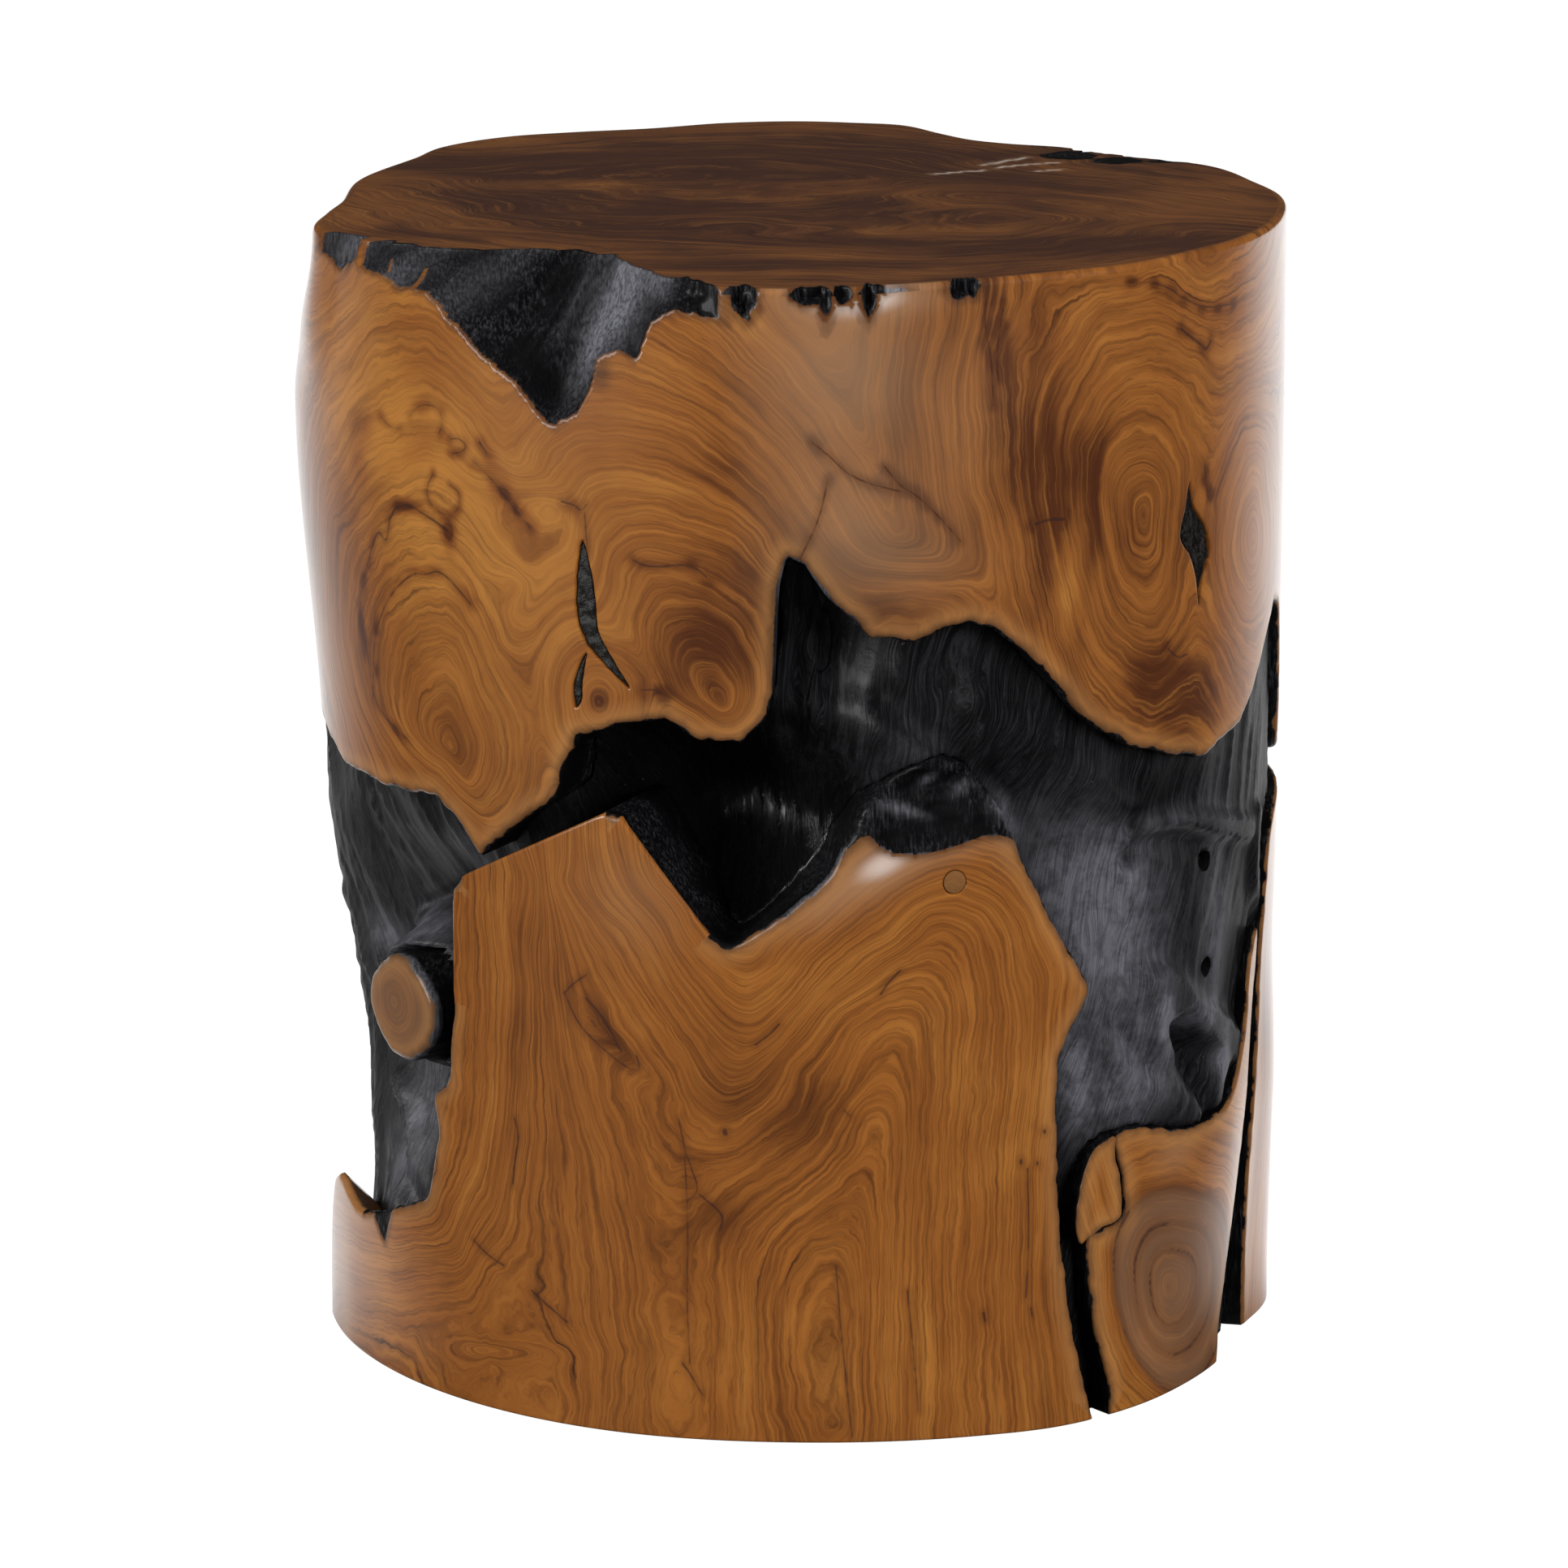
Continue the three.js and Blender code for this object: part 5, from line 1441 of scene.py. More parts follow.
# %% Root shell
# Folds, lips and grooves on the root: height in mm (less than 0 in a groove), half width, picture points
ROOT_RIDGES = [
    (5, 4.5, [(1436, 1300), (1427, 1275), (1428, 1250), (1440, 1236), (1458, 1236)]),
    (8, 7, [(1432, 1212), (1455, 1235), (1480, 1255), (1505, 1272), (1520, 1290)]),
    (8, 4.5, [(1508, 1280), (1506, 1300), (1499, 1325), (1495, 1350)]),
    (-16, 8, [(1462, 1262), (1468, 1280), (1474, 1300)]), (-6, 5, [(1476, 1316), (1482, 1345)]),
    (5, 10, [(1400, 1310), (1430, 1340), (1470, 1370)]),
    (-4, 5, [(1385, 1255), (1395, 1300), (1420, 1320)]),
    (5, 5, [(1405, 1035), (1430, 1018), (1460, 1010), (1500, 1016), (1535, 1022)]),
    (-8, 4.5, [(1408, 1022), (1413, 1040), (1406, 1062)]),
    (-3, 5, [(1430, 1040), (1460, 1036), (1480, 1040)]),
    (4, 5, [(1546, 1000), (1541, 1060), (1546, 1130), (1552, 1180)]),
    (4, 4, [(474, 1140), (492, 1131), (520, 1127), (545, 1127)]),
    (-3, 4, [(480, 1116), (510, 1108), (548, 1108)]), (5, 10, [(488, 1166), (520, 1160)]),
    (6, 5, [(466, 1330), (480, 1380), (490, 1430), (496, 1485)]),
    (-5, 3.5, [(474, 1370), (488, 1430), (500, 1480)]), (4, 4, [(500, 1340), (510, 1400), (512, 1440)]),
    (4, 7, [(1060, 870), (1130, 930), (1200, 990), (1260, 1060)]),
    (-4, 6, [(1090, 860), (1170, 920), (1250, 985)]), (4, 8, [(1200, 860), (1290, 930), (1370, 990)]),
    (5, 6, [(985, 760), (1000, 820), (1010, 880), (1000, 930)]),
]


def on_root(line):
    """Picture points on the root, which lies nearer the drum's face on the right."""
    return cast(line, inset=4 if line[0][0] > 1290 else 15)


root_ridges = [(rise, wide, on_root(curved(line))) for rise, wide, line in ROOT_RIDGES]
# Where the char is lighter: partly worn to grey, partly a painted bluish-grey sheen
ROOT_WORN_AND_SHEEN = [
    ((1385, 1150), 26, 40, 0, 1.0), ((1335, 1085), 24, 26, 0, 0.5), ((1390, 1340), 26, 18, 0, 0.7),
    ((1235, 1005), 14, 10, 0, 0.35), ((485, 1400), 12, 30, 0, 0.8), ((455, 1150), 12, 8, 0, 0.8),
    ((510, 1140), 20, 5, 0, 0.9), ((500, 1165), 14, 9, 0, 0.5), ((1500, 1130), 12, 40, 0, 0.5),
    ((1432, 1255), 5, 12, 0, 1.0), ((1480, 1250), 12, 7, 0, 0.8), ((1502, 1305), 5, 12, 0, 1.6),
    ((1405, 985), 18, 11, 0, -0.35), ((1450, 1010), 20, 5, 0, 0.25), ((1330, 1330), 5, 20, 0, 0.9),
    ((1120, 925), 16, 14, 0, 0.15), ((560, 1075), 12, 16, 0, 0.3),
]

# Bumps and hollows of the natural surface: azimuth, share and half widths
TOE = (-67, 0.07, 14, 0.13)
LEFT_SIDE = (-96, 0.51, 15, 0.12)
LOW_LEFT = (-96, 0.125, 16, 0.05)
LEFT_SIDE_OUT, LOW_LEFT_IN = 14.0, 5.0
# Azimuths between which the surface keeps to the drum, lies calm or leaves the notch open
RIGHT_SIDE, CALM_BARK = (42, 60, 104, 120), (18, 34, 104, 120)
OVER_FOOT, OPEN_NOTCH = (31, 37, 68, 74), (-84, -80, -58, -54)
# The collar round the stub: half widths in degrees and share, and its depth in mm
COLLAR = (9.5, 0.066)
COLLAR_DEPTH = 7
STUB_HOLE = 60
STUB_RIM = (-3.0, 1.4)
LEAST_RECESS = 1.2
# The root's net: where its front ends, its columns on the front and on each side behind, its rows
ROOT_FRONT = 87 * ARC
FRONT_COLUMNS, BACK_COLUMNS, ROOT_ROWS = 330, 90, 190


def root_surface(arc, height):
    """Radius of the root and the marks of its finish."""
    azimuth = arc / ARC
    drum = drum_radius(azimuth, height)
    space = wrap(arc, height, np.full(len(arc), 170.0))
    recess = root_recess(arc, height)
    lean = np.where(azimuth > 0, -0.35, 0.22) * smoothstep(0, 30, np.abs(azimuth))
    flow = arc + lean * (height - 200) + 7 * rough(space, (60, 60, 90), 81, 2)
    along = np.stack([flow, height * 0.16], 1)
    bark = 2.4 * np.abs(lumps(along, 13, 82)) + 1.1 * np.abs(lumps(along, 5.5, 83))
    bark = bark + 0.45 * lumps(along, 2.2, 84)
    share = height / HEIGHT
    right_side = between(*RIGHT_SIDE, azimuth) * smoothstep(0.24, 0.36, share)
    bark = bark * (1 - 0.5 * between(*CALM_BARK, azimuth))
    recess = recess + 2.6 * rough(space, 46, 85) - 1.4 + bark
    recess = recess - (recess - 2.6 - bark) * 0.85 * right_side
    over_foot = between(*OVER_FOOT, azimuth) * smoothstep(0.19, 0.23, share)
    recess = recess - (recess - 4 - bark) * 0.8 * over_foot * smoothstep(0.42, 0.3, share)
    recess = recess - (recess - 12 - bark) * bump(azimuth, share, *TOE)
    places = np.stack([arc, height], 1)
    stub_turn = (azimuth - STUB_PLACE[0]) / COLLAR[0]
    stub_rise = (share - STUB_PLACE[1]) / COLLAR[1]
    collar = np.exp(-np.maximum(np.hypot(stub_turn, stub_rise) - 0.6, 0) ** 2 * 5)
    recess = recess * (1 - collar) + np.minimum(recess, COLLAR_DEPTH + bark * 0.6) * collar
    recess = recess - LEFT_SIDE_OUT * bump(azimuth, share, *LEFT_SIDE)
    recess = recess + LOW_LEFT_IN * bump(azimuth, share, *LOW_LEFT)
    for rise, wide, line in root_ridges:
        gap = near_lines(places, [(0, line)], 3.2 * wide)
        recess = recess - rise * (np.exp(-(gap / wide) ** 2) - math.exp(-10.24))
    recess = np.maximum(recess, LEAST_RECESS)
    blocks = (FRONT_BLOCK, RIGHT_FOOT, FOOT_PATCH, REAR_RIGHT, REAR_LEFT)
    behind = np.max([block_depth(places, rows) for rows in blocks], 0)
    open_notch = between(*OPEN_NOTCH, azimuth) * smoothstep(0.092, 0.102, share)
    seated = smoothstep(0, 3.2, behind) * (1 - open_notch)
    recess = np.maximum(recess, recess + (BLOCK_SEAT - recess) * seated)
    stub = block_depth(places, STUB_OUTLINE)
    recess = recess + (STUB_HOLE - recess) * smoothstep(*STUB_RIM, stub)
    neck = smoothstep(2, 9, height - crown_edge_height(arc))
    radius = drum - recess
    radius = radius + (np.minimum(radius, NECK - 0.3) - radius) * neck
    gloss = smoothstep(20, 40, root_recess(arc, height)) * smoothstep(-46, -38, azimuth)
    # Lighter char, partly worn to grey and partly a painted bluish-grey sheen
    worn_and_sheen = soft_spots(places, ROOT_WORN_AND_SHEEN, on_root)
    return radius, marked(flow + 3 * bark, SOOT, gloss, worn_and_sheen)


def make_root():
    """Rings of points from the floor up to the neck's end, closed at both ends."""
    half = 180 * ARC
    arcs = np.concatenate([
        np.linspace(-half, -ROOT_FRONT, BACK_COLUMNS, endpoint=False),
        np.linspace(-ROOT_FRONT, ROOT_FRONT, FRONT_COLUMNS),
        np.linspace(ROOT_FRONT, half, BACK_COLUMNS)[1:-1],
    ])
    heights = np.linspace(0, ROOF - 0.5, ROOT_ROWS)
    height, arc = (each.ravel() for each in np.meshgrid(heights, arcs, indexing="ij"))
    radius, marks = root_surface(arc, height)
    rings = np.arange(len(arc)).reshape(len(heights), len(arcs))
    after = np.roll(rings, -1, 1)
    lower, upper = rings[:-1].ravel(), rings[1:].ravel()
    after_lower, after_upper = after[:-1].ravel(), after[1:].ravel()
    faces = [np.stack([lower, after_lower, after_upper], 1), np.stack([lower, after_upper, upper], 1)]
    shell = Shell(wrap(arc, height, radius), marks, np.concatenate(faces))
    bottom, top = shell.add(np.array([[0, 0, 0], [0, 0, heights[-1]]]), marked(0.0, SOOT))
    shell.close(rings[0], bottom)
    shell.close(rings[-1], top, up=True)
    return shell.piece("root_whole")


root_whole = make_root()

# %% [markdown]
# ## Sawing the root in two
# The right side of the root is a separate piece, pinned on with two screws. A bisect in edit mode cuts
# each half from a copy of the whole and closes the cut, as a saw would. Two holes are then bored for
# the screws, with a turned cutter and a boolean.

# %% Root in two pieces
SPLIT_AZIMUTH = 48.0
SPLIT_REACH = 119.0
SPLIT_GAP = 0.3
BORES = [(58.6, 0.461), (59.4, 0.365)]
BORE_DIAMETER = 8.0
BORE_DEPTH = 14.0
OVERSHOOT = 12.0


def only(piece):
    """Makes one piece the active and only selected one."""
    bpy.ops.object.select_all(action="DESELECT")
    piece.select_set(True)
    bpy.context.view_layer.objects.active = piece


def outward(azimuth):
    """The level direction from the axis at an azimuth."""
    turn = math.radians(azimuth)
    return Vector((math.sin(turn), -math.cos(turn), 0))


def in_space(place, radius):
    """A place of azimuth and share, this far from the axis, in metres."""
    middle = outward(place[0]) * radius * MM
    middle.z = place[1] * HEIGHT * MM
    return middle


def cut_away(piece, cutter):
    """Takes the cutter's shape out of a piece and removes the cutter."""
    only(piece)
    cut = piece.modifiers.new("cut", "BOOLEAN")
    cut.operation = "DIFFERENCE"
    cut.object = cutter
    cut.solver = "EXACT"
    bpy.ops.object.modifier_apply(modifier="cut")
    bpy.data.objects.remove(cutter)


def half_of(whole, name, outer):
    """The part of the whole beyond the split, or the part inside it."""
    piece = whole.copy()
    piece.data = whole.data.copy()
    piece.name = piece.data.name = name
    bpy.context.collection.objects.link(piece)
    out = outward(SPLIT_AZIMUTH)
    reach = (SPLIT_REACH + (SPLIT_GAP / 2 if outer else -SPLIT_GAP / 2)) * MM
    only(piece)
    bpy.ops.object.mode_set(mode="EDIT")
    bpy.ops.mesh.select_all(action="SELECT")
    bpy.ops.mesh.bisect(plane_co=out * reach, plane_no=out, use_fill=True,
                        clear_inner=outer, clear_outer=not outer)
    bpy.ops.mesh.select_all(action="SELECT")
    bpy.ops.mesh.quads_convert_to_tris()
    bpy.ops.object.mode_set(mode="OBJECT")
    print(name, "has", len(piece.data.polygons), "faces")
    return piece


def lay_rod(name, place, diameter, outer, inner, sides=32):
    """A rod that points at the stool's axis, between two distances from it."""
    bpy.ops.object.select_all(action="DESELECT")
    bpy.ops.mesh.primitive_cylinder_add(
        vertices=sides, radius=diameter / 2 * MM, depth=(outer - inner) * MM,
        location=in_space(place, (outer + inner) / 2),
        rotation=outward(place[0]).to_track_quat("Z", "Y").to_euler())
    rod = bpy.context.active_object
    rod.name = rod.data.name = name
    bpy.ops.object.transform_apply(location=True, rotation=True, scale=True)
    return rod


root_core = half_of(root_whole, "root_heart", False)
root_side = half_of(root_whole, "root_side", True)
bpy.data.objects.remove(root_whole)

bore_floors = []
for place in BORES:
    outer = float(root_surface(np.array([place[0] * ARC]), np.array([place[1] * HEIGHT]))[0][0])
    bore_floors.append(outer - BORE_DEPTH)
    cut_away(root_side, lay_rod("cutter", place, BORE_DIAMETER, outer + OVERSHOOT, bore_floors[-1]))
for piece, node in ((root_core, "root_core"), (root_side, "root_right")):
    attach(piece, "root")
    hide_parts(node)
print("bore floors at radius, mm:", np.round(bore_floors, 1))

# %% [markdown]
# ## The branch stub
# The cut branch is a short wrapped block with a round outline, sanded flush with the drum, and its end
# grain shows rings.

# %% Stub
stub_middle = np.array([STUB_PLACE[0] * ARC, STUB_PLACE[1] * HEIGHT])


def stub_look(places):
    offset = (places - stub_middle - (-2.5, 1.5)) * (1, 1.05)
    rings = np.linalg.norm(offset, axis=1) * 1.5 + 1.5 * rough(places, 14, 91, 2)
    return 0.0, marked(rings, tone=-0.55 - 0.35 * np.exp(-((rings - 10) / 5) ** 2), pale=0.55)


stub = block("stub", STUB_OUTLINE, 1.5, 55, stub_look, natural_round=3.2)
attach(stub, "root")
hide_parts("branch_stub")

# %% [markdown]
# ## Plug and screws
# The plug is a turned dowel with a softened end. Each screw sits at the bottom of its bore, with a
# flat head and a cross recess.

# %% Plug and screws
def soften(piece, width, segments=2):
    """Rounds a piece's sharp edges by a bevel."""
    only(piece)
    bevel = piece.modifiers.new("edge", "BEVEL")
    bevel.width = width * MM
    bevel.segments = segments
    bevel.limit_method = "ANGLE"
    bpy.ops.object.modifier_apply(modifier="edge")
    bpy.ops.object.shade_smooth_by_angle(angle=math.radians(35))


PLUG_SUNK = 0.15
PLUG_INNER = 100
plug_outer = float(drum_radius(PLUG_PLACE[0], PLUG_PLACE[1] * HEIGHT)) - PLUG_SUNK
plug = lay_rod("plug", PLUG_PLACE, PLUG_DIAMETER, plug_outer, PLUG_INNER, 40)
soften(plug, 0.35)
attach(plug, "root")
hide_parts("front_plug_dowel")

HEAD_DIAMETER, HEAD_THICKNESS, SHANK_DIAMETER, BITE = 7.0, 3.0, 4.4, 20.0
CROSS_LONG, CROSS_WIDE, CROSS_DEEP = 4.2, 0.9, 2.4


def make_screw(name, place, floor):
    """A head on the bore's floor, a shank pulled out of its underside and a cross cut into its top."""
    screw = lay_rod(name, place, HEAD_DIAMETER, floor + HEAD_THICKNESS, floor + 0.1)
    out = outward(place[0])
    only(screw)
    bpy.ops.object.mode_set(mode="EDIT")
    bpy.ops.mesh.select_mode(type="FACE")
    bpy.ops.mesh.select_all(action="DESELECT")
    bpy.ops.object.mode_set(mode="OBJECT")
    for face in screw.data.polygons:
        face.select = face.normal.dot(out) < -0.9
    bpy.ops.object.mode_set(mode="EDIT")
    bpy.ops.mesh.inset(thickness=(HEAD_DIAMETER - SHANK_DIAMETER) / 2 * MM, depth=0)
    bpy.ops.mesh.extrude_region_move(TRANSFORM_OT_translate={"value": tuple(-out * BITE * MM)})
    bpy.ops.object.mode_set(mode="OBJECT")
    for wide, tall in ((CROSS_LONG, CROSS_WIDE), (CROSS_WIDE, CROSS_LONG)):
        bpy.ops.object.select_all(action="DESELECT")
        bpy.ops.mesh.primitive_cube_add(size=1, location=in_space(place, floor + HEAD_THICKNESS),
                                        rotation=out.to_track_quat("Z", "Y").to_euler())
        cutter = bpy.context.active_object
        cutter.scale = (wide * MM, tall * MM, CROSS_DEEP * MM)
        bpy.ops.object.transform_apply(location=True, rotation=True, scale=True)
        cut_away(screw, cutter)
    soften(screw, 0.2, 1)
    return screw


for name, place, floor in zip(("upper", "lower"), BORES, bore_floors):
    screw = make_screw("screw_in_bore_" + name, place, floor)
    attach(screw, "root")
    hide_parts("screw_" + name)
print("plug end at radius, mm:", round(plug_outer, 1))

# %% [markdown]
# ## Shader maths in plain Python
# A material is a graph of nodes. The small class below wraps a socket, so that sums on sockets can be
# written as ordinary expressions, and one method adds any other node.

# %% Shader helper
class Value:
    """A node output that can be used in Python sums."""

    def __init__(self, tree, socket):
        self.tree = tree
        self.socket = socket

    def node(self, kind, settings=None, out=0, **inputs):
        """A new node. Inputs are named, or numbered as in0 and in1, and take numbers or values."""
        made = self.tree.nodes.new(kind)
        for key, setting in (settings or {}).items():
            setattr(made, key, setting)
        for key, value in inputs.items():
            number = key[2:] if key.startswith("in") else ""
            socket = made.inputs[int(number) if number.isdigit() else key.replace("_", " ")]
            if isinstance(value, Value):
                self.tree.links.new(value.socket, socket)
            else:
                socket.default_value = value
        return Value(self.tree, made.outputs[out])

    def math(self, operation, *others):
        """A maths node on this value and others."""
        values = {f"in{i}": value for i, value in enumerate((self, *others))}
        return self.node("ShaderNodeMath", {"operation": operation}, **values)

    def __add__(self, other):
        return self.math("ADD", other)

    __radd__ = __add__

    def __sub__(self, other):
        return self.math("SUBTRACT", other)

    def __rsub__(self, other):
        return self.node("ShaderNodeMath", {"operation": "SUBTRACT"}, in0=other, in1=self)

    def __mul__(self, other):
        return self.math("MULTIPLY", other)

    __rmul__ = __mul__

    def __pow__(self, other):
        return self.math("POWER", other)

    def __neg__(self):
        return self.math("MULTIPLY", -1.0)

    def positive(self):
        return self.math("MAXIMUM", 0.0)

    def clamp(self):
        return self.positive().math("MINIMUM", 1.0)

    def step(self, low, high, to_low=0.0, to_high=1.0):
        """A smooth step from low to high."""
        return self.node("ShaderNodeMapRange", {"interpolation_type": "SMOOTHSTEP"}, Value=self,
                         From_Min=low, From_Max=high, To_Min=to_low, To_Max=to_high)

    def scaled(self, factors):
        """A vector times three numbers."""
        return self.node("ShaderNodeVectorMath", {"operation": "MULTIPLY"}, in0=self, in1=factors)

    def mark(self, name):
        """A point attribute of the mesh."""
        return self.node("ShaderNodeAttribute", {"attribute_name": name}, out=2)

    def bumped(self, strength, distance):
        """Normals of a surface that this value raises, with the distance in metres."""
        return self.node("ShaderNodeBump", Strength=strength, Distance=distance, Height=self)

    def noise(self, scale, detail=2.0, w=None, roughness=0.5):
        """Noise at a place in mm. A fourth coordinate w changes it across the grain."""
        settings = {"noise_dimensions": "3D" if w is None else "4D"}
        inputs = {"Vector": self, "Scale": scale, "Detail": detail, "Roughness": roughness}
        if w is not None:
            inputs["W"] = w * (1 / scale)
        return self.node("ShaderNodeTexNoise", settings, **inputs)


def blend(low, high, share):
    """Mixes two colours by a share. Colours are values or three numbers."""
    low, high = (colour if isinstance(colour, Value) else (*colour, 1) for colour in (low, high))
    return share.node("ShaderNodeMix", {"data_type": "RGBA", "clamp_factor": True}, out=2,
                      in0=share, in6=low, in7=high)


def new_finish(name, **plain):
    """A material with one shader whose uniform sockets are set, and the places on it in mm."""
    material = bpy.data.materials.new(name)
    material.use_nodes = True
    for key, value in plain.items():
        material.node_tree.nodes["Principled BSDF"].inputs[key.replace("_", " ")].default_value = value
    place = Value(material.node_tree, None).node("ShaderNodeTexCoord", out=3)
    return material, place.scaled((1 / MM, 1 / MM, 1 / MM))


def connect(material, **sockets):
    """Links values to the shader's sockets."""
    shader = material.node_tree.nodes["Principled BSDF"]
    for key, value in sockets.items():
        material.node_tree.links.new(value.socket, shader.inputs[key.replace("_", " ")])


print("shader helper ready")

# %% [markdown]
# ## Root wood and char
# The wood is teak-like root, golden to red brown. Dark late wood ends each ring, finer rings lie
# between, and long fibres follow the grain. The tone attribute darkens and lightens it as on the real
# blocks, the pale mark gives silvery patches and paints in sheen and white highlights, and vein draws
# thin dark seams. Where char is above 0 the surface is burnt: near black, with a faint blue fibre and
# a harder gloss, and with a painted bluish-grey sheen where the pale mark is high.

# %% Wood finish
RING = 2.7
# Silvery wood, and also painted sheen, where the pale mark is up to 1
SILVER_AND_SHEEN = (0.37, 0.225, 0.13)
# A painted white sheen, which the seat's light scratches also use
WORN_WOOD_AND_SHEEN = (0.74, 0.64, 0.58)
SAPWOOD = (0.42, 0.20, 0.065)
SEAM = (0.035, 0.015, 0.012)
SCORCHED = (0.045, 0.022, 0.014)
# Char black, ash fibres, and a painted bluish-grey sheen
BLACK, ASH, PAINTED_SHEEN_BLUE_GREY = (0.0025, 0.0025, 0.003), (0.040, 0.040, 0.045), (0.19, 0.19, 0.215)


def wood_finish(name, light, middle, dark, line):
    """Root wood in three tones, with its late wood in the colour of the line."""
    material, mm = new_finish(name, Coat_Roughness=0.12, Specular_IOR_Level=0.2)
    grain = mm.mark("grain") + (mm.noise(0.028, 2.0) - 0.5) * 5.0 + (mm.noise(0.13, 2.0) - 0.5) * 1.6
    bands = mm.noise(0.006, 2.0, w=grain * 0.08)
    turn = (grain + (bands - 0.5) * 9.0) * (1 / RING)
    ring = turn.math("FRACT")
    count = turn.math("FLOOR")
    strength = turn.node("ShaderNodeTexWhiteNoise", {"noise_dimensions": "1D"}, W=count)
    fade = mm.noise(0.022, 1.0, w=count * 3.7).step(0.38, 0.66)
    pale = mm.mark("pale")
    calm = 1 - pale.math("ABSOLUTE").clamp() * 0.8
    shade = ring.step(0.10, 0.95) * (1 - ring.step(0.95, 1.0)) * (strength * 0.6 + 0.2)
    late = ring.step(0.72, 0.90) * (1 - ring.step(0.90, 0.99)) * (strength ** 3.0 + 0.05)
    late = late * (fade * 0.92 + 0.08)
    fibre = mm.noise(0.016, 4.0, w=grain * 1.15, roughness=0.74)
    streak = mm.noise(0.011, 2.0, w=grain * 0.33, roughness=0.6)
    pores = mm.noise(0.10, 1.0, w=grain * 2.1)
    ribbon = mm.noise(0.045, 2.0, w=grain * 0.05)
    blotch = mm.noise(0.016, 3.0)
    tone = mm.mark("tone") + (blotch - 0.5) * 1.0 + (bands - 0.5) * 1.6
    tone = tone + (ribbon - 0.5) * 0.7 + (streak - 0.5) * 1.5
    base = blend(dark, middle, tone.step(-1.0, 0.05))
    base = blend(base, light, tone.step(-0.05, 1.0))
    hair = (fibre - 0.46).positive() * 2.6
    base = blend(base, line, ((shade * 0.17 + late * 0.55) * calm + hair * (calm * 0.5 + 0.5)).clamp())
    base = blend(base, light, (0.47 - fibre).positive() * 2.4)
    base = blend(base, line, pores.step(0.60, 0.72) * 0.34 * calm)
    # Silvery wood and painted sheen by the pale mark
    base = blend(base, SILVER_AND_SHEEN, pale.clamp() * 0.48)
    # A painted white sheen where the pale mark is above 1, and the seat's light scratches
    base = blend(base, WORN_WOOD_AND_SHEEN, pale.step(1.0, 2.2) * 0.8)
    base = blend(base, SAPWOOD, (1 - mm.mark("border").step(2.0, 11.0)) * 0.42)
    vein = mm.mark("vein")
    base = blend(base, dark, (1 - vein.step(0.0, 3.6)) * 0.35)
    base = blend(base, SEAM, (1 - vein.step(-0.2, 0.55)) * 0.72)
    char = mm.mark("char") + (mm.noise(0.9, 2.0) - 0.5) * 0.8
    burnt = char.step(-0.25, 0.35)
    scorch = char.step(-4.0, 0.2)
    base = blend(base, SCORCHED, scorch * 0.62)
    strand = mm.scaled((1, 0.5, 0.07)).noise(0.95, 3.0, roughness=0.72)
    patch = mm.noise(0.05, 3.0).step(0.36, 0.66)
    soot = blend(BLACK, ASH, strand.step(0.44, 0.74) * patch)
    # A painted bluish-grey sheen and painted grey highlights on the char
    soot = blend(soot, PAINTED_SHEEN_BLUE_GREY, pale * (strand.step(0.28, 0.68) * 0.72 + 0.22))
    base = blend(base, soot, burnt)
    relief = late * -0.4 + fibre * 0.6 + mm.noise(0.02, 1.0) * 2.0
    char_relief = strand * 5.0 + mm.noise(0.5, 2.0) * 1.2
    height = relief * (1 - burnt) + char_relief * burnt
    connect(material, Base_Color=base, Normal=height.bumped(0.35, 0.00025),
            Roughness=(fibre - 0.5) * 0.10 + 0.34 + late * 0.05 + burnt * 0.16,
            Coat_Weight=0.75 - scorch * 0.55 - burnt * 0.08)
    return material


crown_wood = wood_finish("crown wood", light=(0.43, 0.175, 0.034), middle=(0.27, 0.092, 0.018),
                         dark=(0.085, 0.024, 0.007), line=(0.045, 0.014, 0.006))
block_wood = wood_finish("block wood", light=(0.42, 0.165, 0.030), middle=(0.27, 0.088, 0.015),
                         dark=(0.10, 0.030, 0.007), line=(0.045, 0.014, 0.005))
print("wood finishes:", crown_wood.name, "and", block_wood.name)

# %% [markdown]
# ## The charred root's finish
# The root is black with fibres along it. Where its pale mark is high the char is lighter, partly
# worn to grey and partly a painted bluish-grey sheen, and where its tone attribute is high, in the
# cave, it is blacker and glossier.

# %% Charred root finish
def char_finish(name):
    material, mm = new_finish(name, Coat_Roughness=0.25, Specular_IOR_Level=0.4)
    grain, cave = mm.mark("grain"), mm.mark("tone")
    drawn_out = mm.scaled((1, 1, 0.22))
    fibre = drawn_out.noise(0.11, 4.0, w=grain * 1.3, roughness=0.78)
    strands = drawn_out.noise(0.09, 2.0, w=grain * 3.2)
    mottle = mm.noise(0.12, 4.0, roughness=0.65)
    # Lighter char where the pale mark is high: partly worn to grey, partly a painted bluish-grey sheen
    worn_and_sheen = (mm.mark("pale") * (mottle.step(0.25, 0.70) * 0.9 + 0.4)).clamp()
    base = blend((0.003, 0.003, 0.0035), (0.028, 0.028, 0.032), fibre.step(0.42, 0.78))
    base = blend(base, (0.145, 0.143, 0.166), worn_and_sheen * (fibre.step(0.30, 0.62) * 0.65 + 0.35))
    base = blend(base, BLACK, cave * 0.8)
    base = blend(base, (0.30, 0.20, 0.12), mm.noise(0.55, 1.0).step(0.78, 0.82) * 0.25)
    height = fibre * 1.0 + strands * 0.6 + mottle * 0.8
    connect(material, Base_Color=base, Normal=height.bumped(0.6, 0.0008),
            Roughness=0.50 - cave * 0.24 + (fibre - 0.5) * 0.26, Coat_Weight=cave * 0.5 + 0.1)
    return material


charred_root = char_finish("charred root")
print("made", charred_root.name)

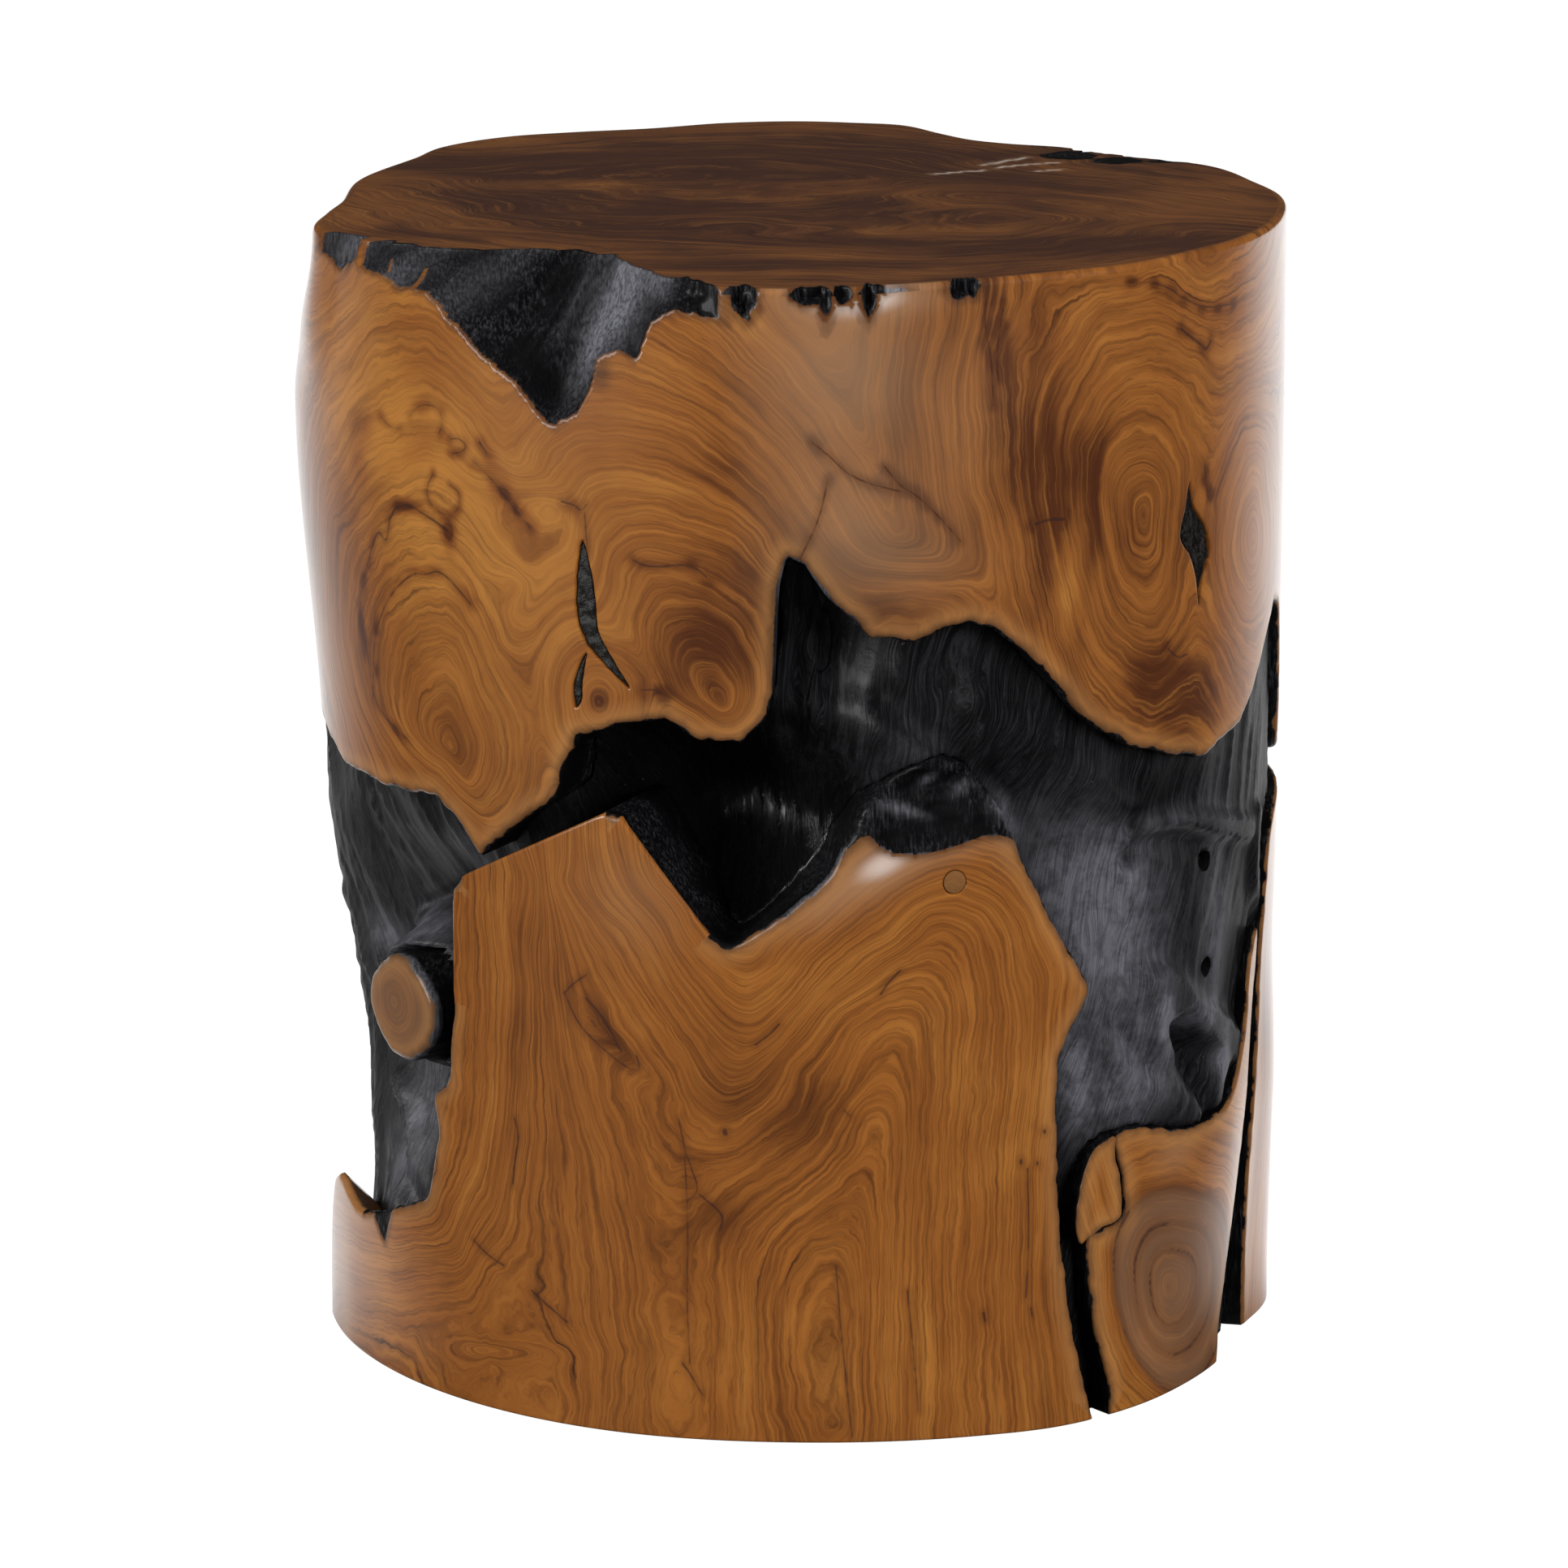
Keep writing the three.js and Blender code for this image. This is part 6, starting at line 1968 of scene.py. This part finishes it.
# %% [markdown]
# ## Filler, dowel and steel
# The filler is gritty and nearly black, the dowel's end shows pores, and the screws are dull steel.

# %% Small finishes
dark_filler, mm = new_finish("dark filler", Specular_IOR_Level=0.4)
grit = mm.noise(0.9, 3.0, roughness=0.7)
colour = blend((0.004, 0.0035, 0.003), (0.035, 0.030, 0.026), grit.step(0.45, 0.8))
connect(dark_filler, Base_Color=colour, Roughness=grit * 0.2 + 0.35, Normal=grit.bumped(0.7, 0.0006))

dowel_wood, mm = new_finish("dowel wood", Specular_IOR_Level=0.3)
pores = mm.noise(0.9, 2.0)
colour = blend((0.13, 0.052, 0.014), (0.27, 0.12, 0.038), pores * 0.6 + mm.noise(0.12, 2.0) * 0.4)
connect(dowel_wood, Base_Color=colour, Roughness=pores * 0.2 + 0.4, Normal=pores.bumped(0.4, 0.0003))

screw_steel, mm = new_finish("screw steel", Metallic=1.0)
dull = mm.noise(0.6, 3.0)
colour = blend((0.22, 0.21, 0.19), (0.46, 0.45, 0.42), dull)
connect(screw_steel, Base_Color=colour, Roughness=dull * 0.3 + 0.25)
print("made", dark_filler.name, dowel_wood.name, screw_steel.name)

# %% [markdown]
# ## Dressing
# Each piece gets the finish of its slot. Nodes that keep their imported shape, such as the hidden
# dowels, are dressed by the slots in the record.

# %% Dressing every piece
FINISHES = {
    "crown_wood": crown_wood, "block_wood": block_wood, "charred_root": charred_root,
    "dark_filler": dark_filler, "dowel_wood": dowel_wood, "screw_steel": screw_steel,
}
DRESSED = {
    "crown_wood": ["crown"],
    "block_wood": ["front", "foot", "patch", "rear_right", "rear_left", "stub"],
    "charred_root": ["root_heart", "root_side"],
    "dark_filler": ["filler_long", "filler_short", "filler_eye"],
    "dowel_wood": ["plug"],
    "screw_steel": ["screw_in_bore_upper", "screw_in_bore_lower"],
}
for slot, names in DRESSED.items():
    for name in names:
        bpy.data.objects[name].data.materials.clear()
        bpy.data.objects[name].data.materials.append(FINISHES[slot])
slot_of = {row["node"]: row["material_slot"] for row in frame["record"]["subparts"]}
for node in frame["nodes"]:
    carried = bpy.data.objects.get(node)
    if carried is not None:
        for holder in carried.material_slots:
            holder.material = FINISHES[slot_of[node]]
print("dressed", sum(map(len, DRESSED.values())), "pieces")

# %% [markdown]
# ## Floor and light
# A wide pale floor takes a soft shadow and runs out to white. The world is white to the camera and in
# the gloss behind the stool, and dim in front of it, as in a studio where only the backdrop is lit.
# Two large soft lamps stand at the left and the right, with a weak one above. Only the left one shows
# in the gloss, as a window would.

# %% Floor
FLOOR_SIZE = 40.0
bpy.ops.object.select_all(action="DESELECT")
bpy.ops.mesh.primitive_plane_add(size=FLOOR_SIZE, location=(0, 0, -0.0005))
floor = bpy.context.active_object
floor.name = floor.data.name = "floor"
floor_paint, _ = new_finish("floor paint", Roughness=0.9, Specular_IOR_Level=0.0)
floor_tree = floor_paint.node_tree
place = Value(floor_tree, None).node("ShaderNodeTexCoord", out=3)
camera_ray = place.node("ShaderNodeLightPath", out=0)
glossy_ray = place.node("ShaderNodeLightPath", out=3)
connect(floor_paint, Base_Color=blend((0.3, 0.3, 0.3), (0.8, 0.8, 0.8), camera_ray))
across = place.node("ShaderNodeSeparateXYZ", out=0, Vector=place)
deep = place.node("ShaderNodeSeparateXYZ", out=1, Vector=place)
bearing = across.math("ARCTAN2", -deep)
close = place.node("ShaderNodeVectorMath", {"operation": "LENGTH"}, out=1, Vector=place).step(0.55, 0.2)
lit_side = (bearing + close * 0.6).step(1.8, 2.5, 0.03, 1.4)
lit_left = (bearing - close * 0.95).step(-1.75, -2.8, 0.03, 1.15)
shine = glossy_ray * lit_side.math("MAXIMUM", lit_left)
glow = place.node("ShaderNodeEmission", Strength=camera_ray * 1.1 + shine)
paint = Value(floor_tree, floor_tree.nodes["Principled BSDF"].outputs[0])
shown = place.node("ShaderNodeMixShader", in0=camera_ray * 0.9 + glossy_ray, in1=paint, in2=glow)
floor_tree.links.new(shown.socket, floor_tree.nodes["Material Output"].inputs["Surface"])
floor.data.materials.append(floor_paint)
print("floor", FLOOR_SIZE, "m wide")

# %% [markdown]
# ## World and lamps
# The world is white to the camera, dim as a light and nearly dark in the gloss. The lamps are listed
# with place, target, size in metres, power in watts and whether they show in the gloss.

# %% World and lamps
world = bpy.data.worlds.new("studio")
bpy.context.scene.world = world
world.use_nodes = True
sky = world.node_tree
begin = Value(sky, None)
camera_ray = begin.node("ShaderNodeLightPath", out=0)
diffuse_ray = begin.node("ShaderNodeLightPath", out=2)
glossy_ray = begin.node("ShaderNodeLightPath", out=3)
through_ray = begin.node("ShaderNodeLightPath", out=6)
strength = (camera_ray + through_ray + glossy_ray * 0.032 + diffuse_ray * 0.3).clamp()
sky.links.new(strength.socket, sky.nodes["Background"].inputs["Strength"])
sky.nodes["Background"].inputs["Color"].default_value = (1, 1, 1, 1)

LAMPS = [
    ("left", (-2.8, -1.9, 1.5), (0, 0, 0.25), (1.8, 2.2), 106, True),
    ("right", (2.75, -1.95, 1.4), (0, 0, 0.25), (1.8, 2.2), 104, False),
    ("top", (0, 0.3, 3.2), (0, 0, 0.3), (1.4, 1.4), 13, False),
]
for name, place, target, size, power, shows in LAMPS:
    lamp_data = bpy.data.lights.new(name, "AREA")
    lamp_data.shape = "RECTANGLE"
    lamp_data.size, lamp_data.size_y = size
    lamp_data.energy = power
    lamp = bpy.data.objects.new(name, lamp_data)
    lamp.location = place
    lamp.visible_glossy = shows
    lamp.rotation_euler = (Vector(target) - Vector(place)).to_track_quat("-Z", "Y").to_euler()
    bpy.context.collection.objects.link(lamp)
bpy.context.scene.view_settings.view_transform = "Standard"
print("lamps:", [lamp[0] for lamp in LAMPS])
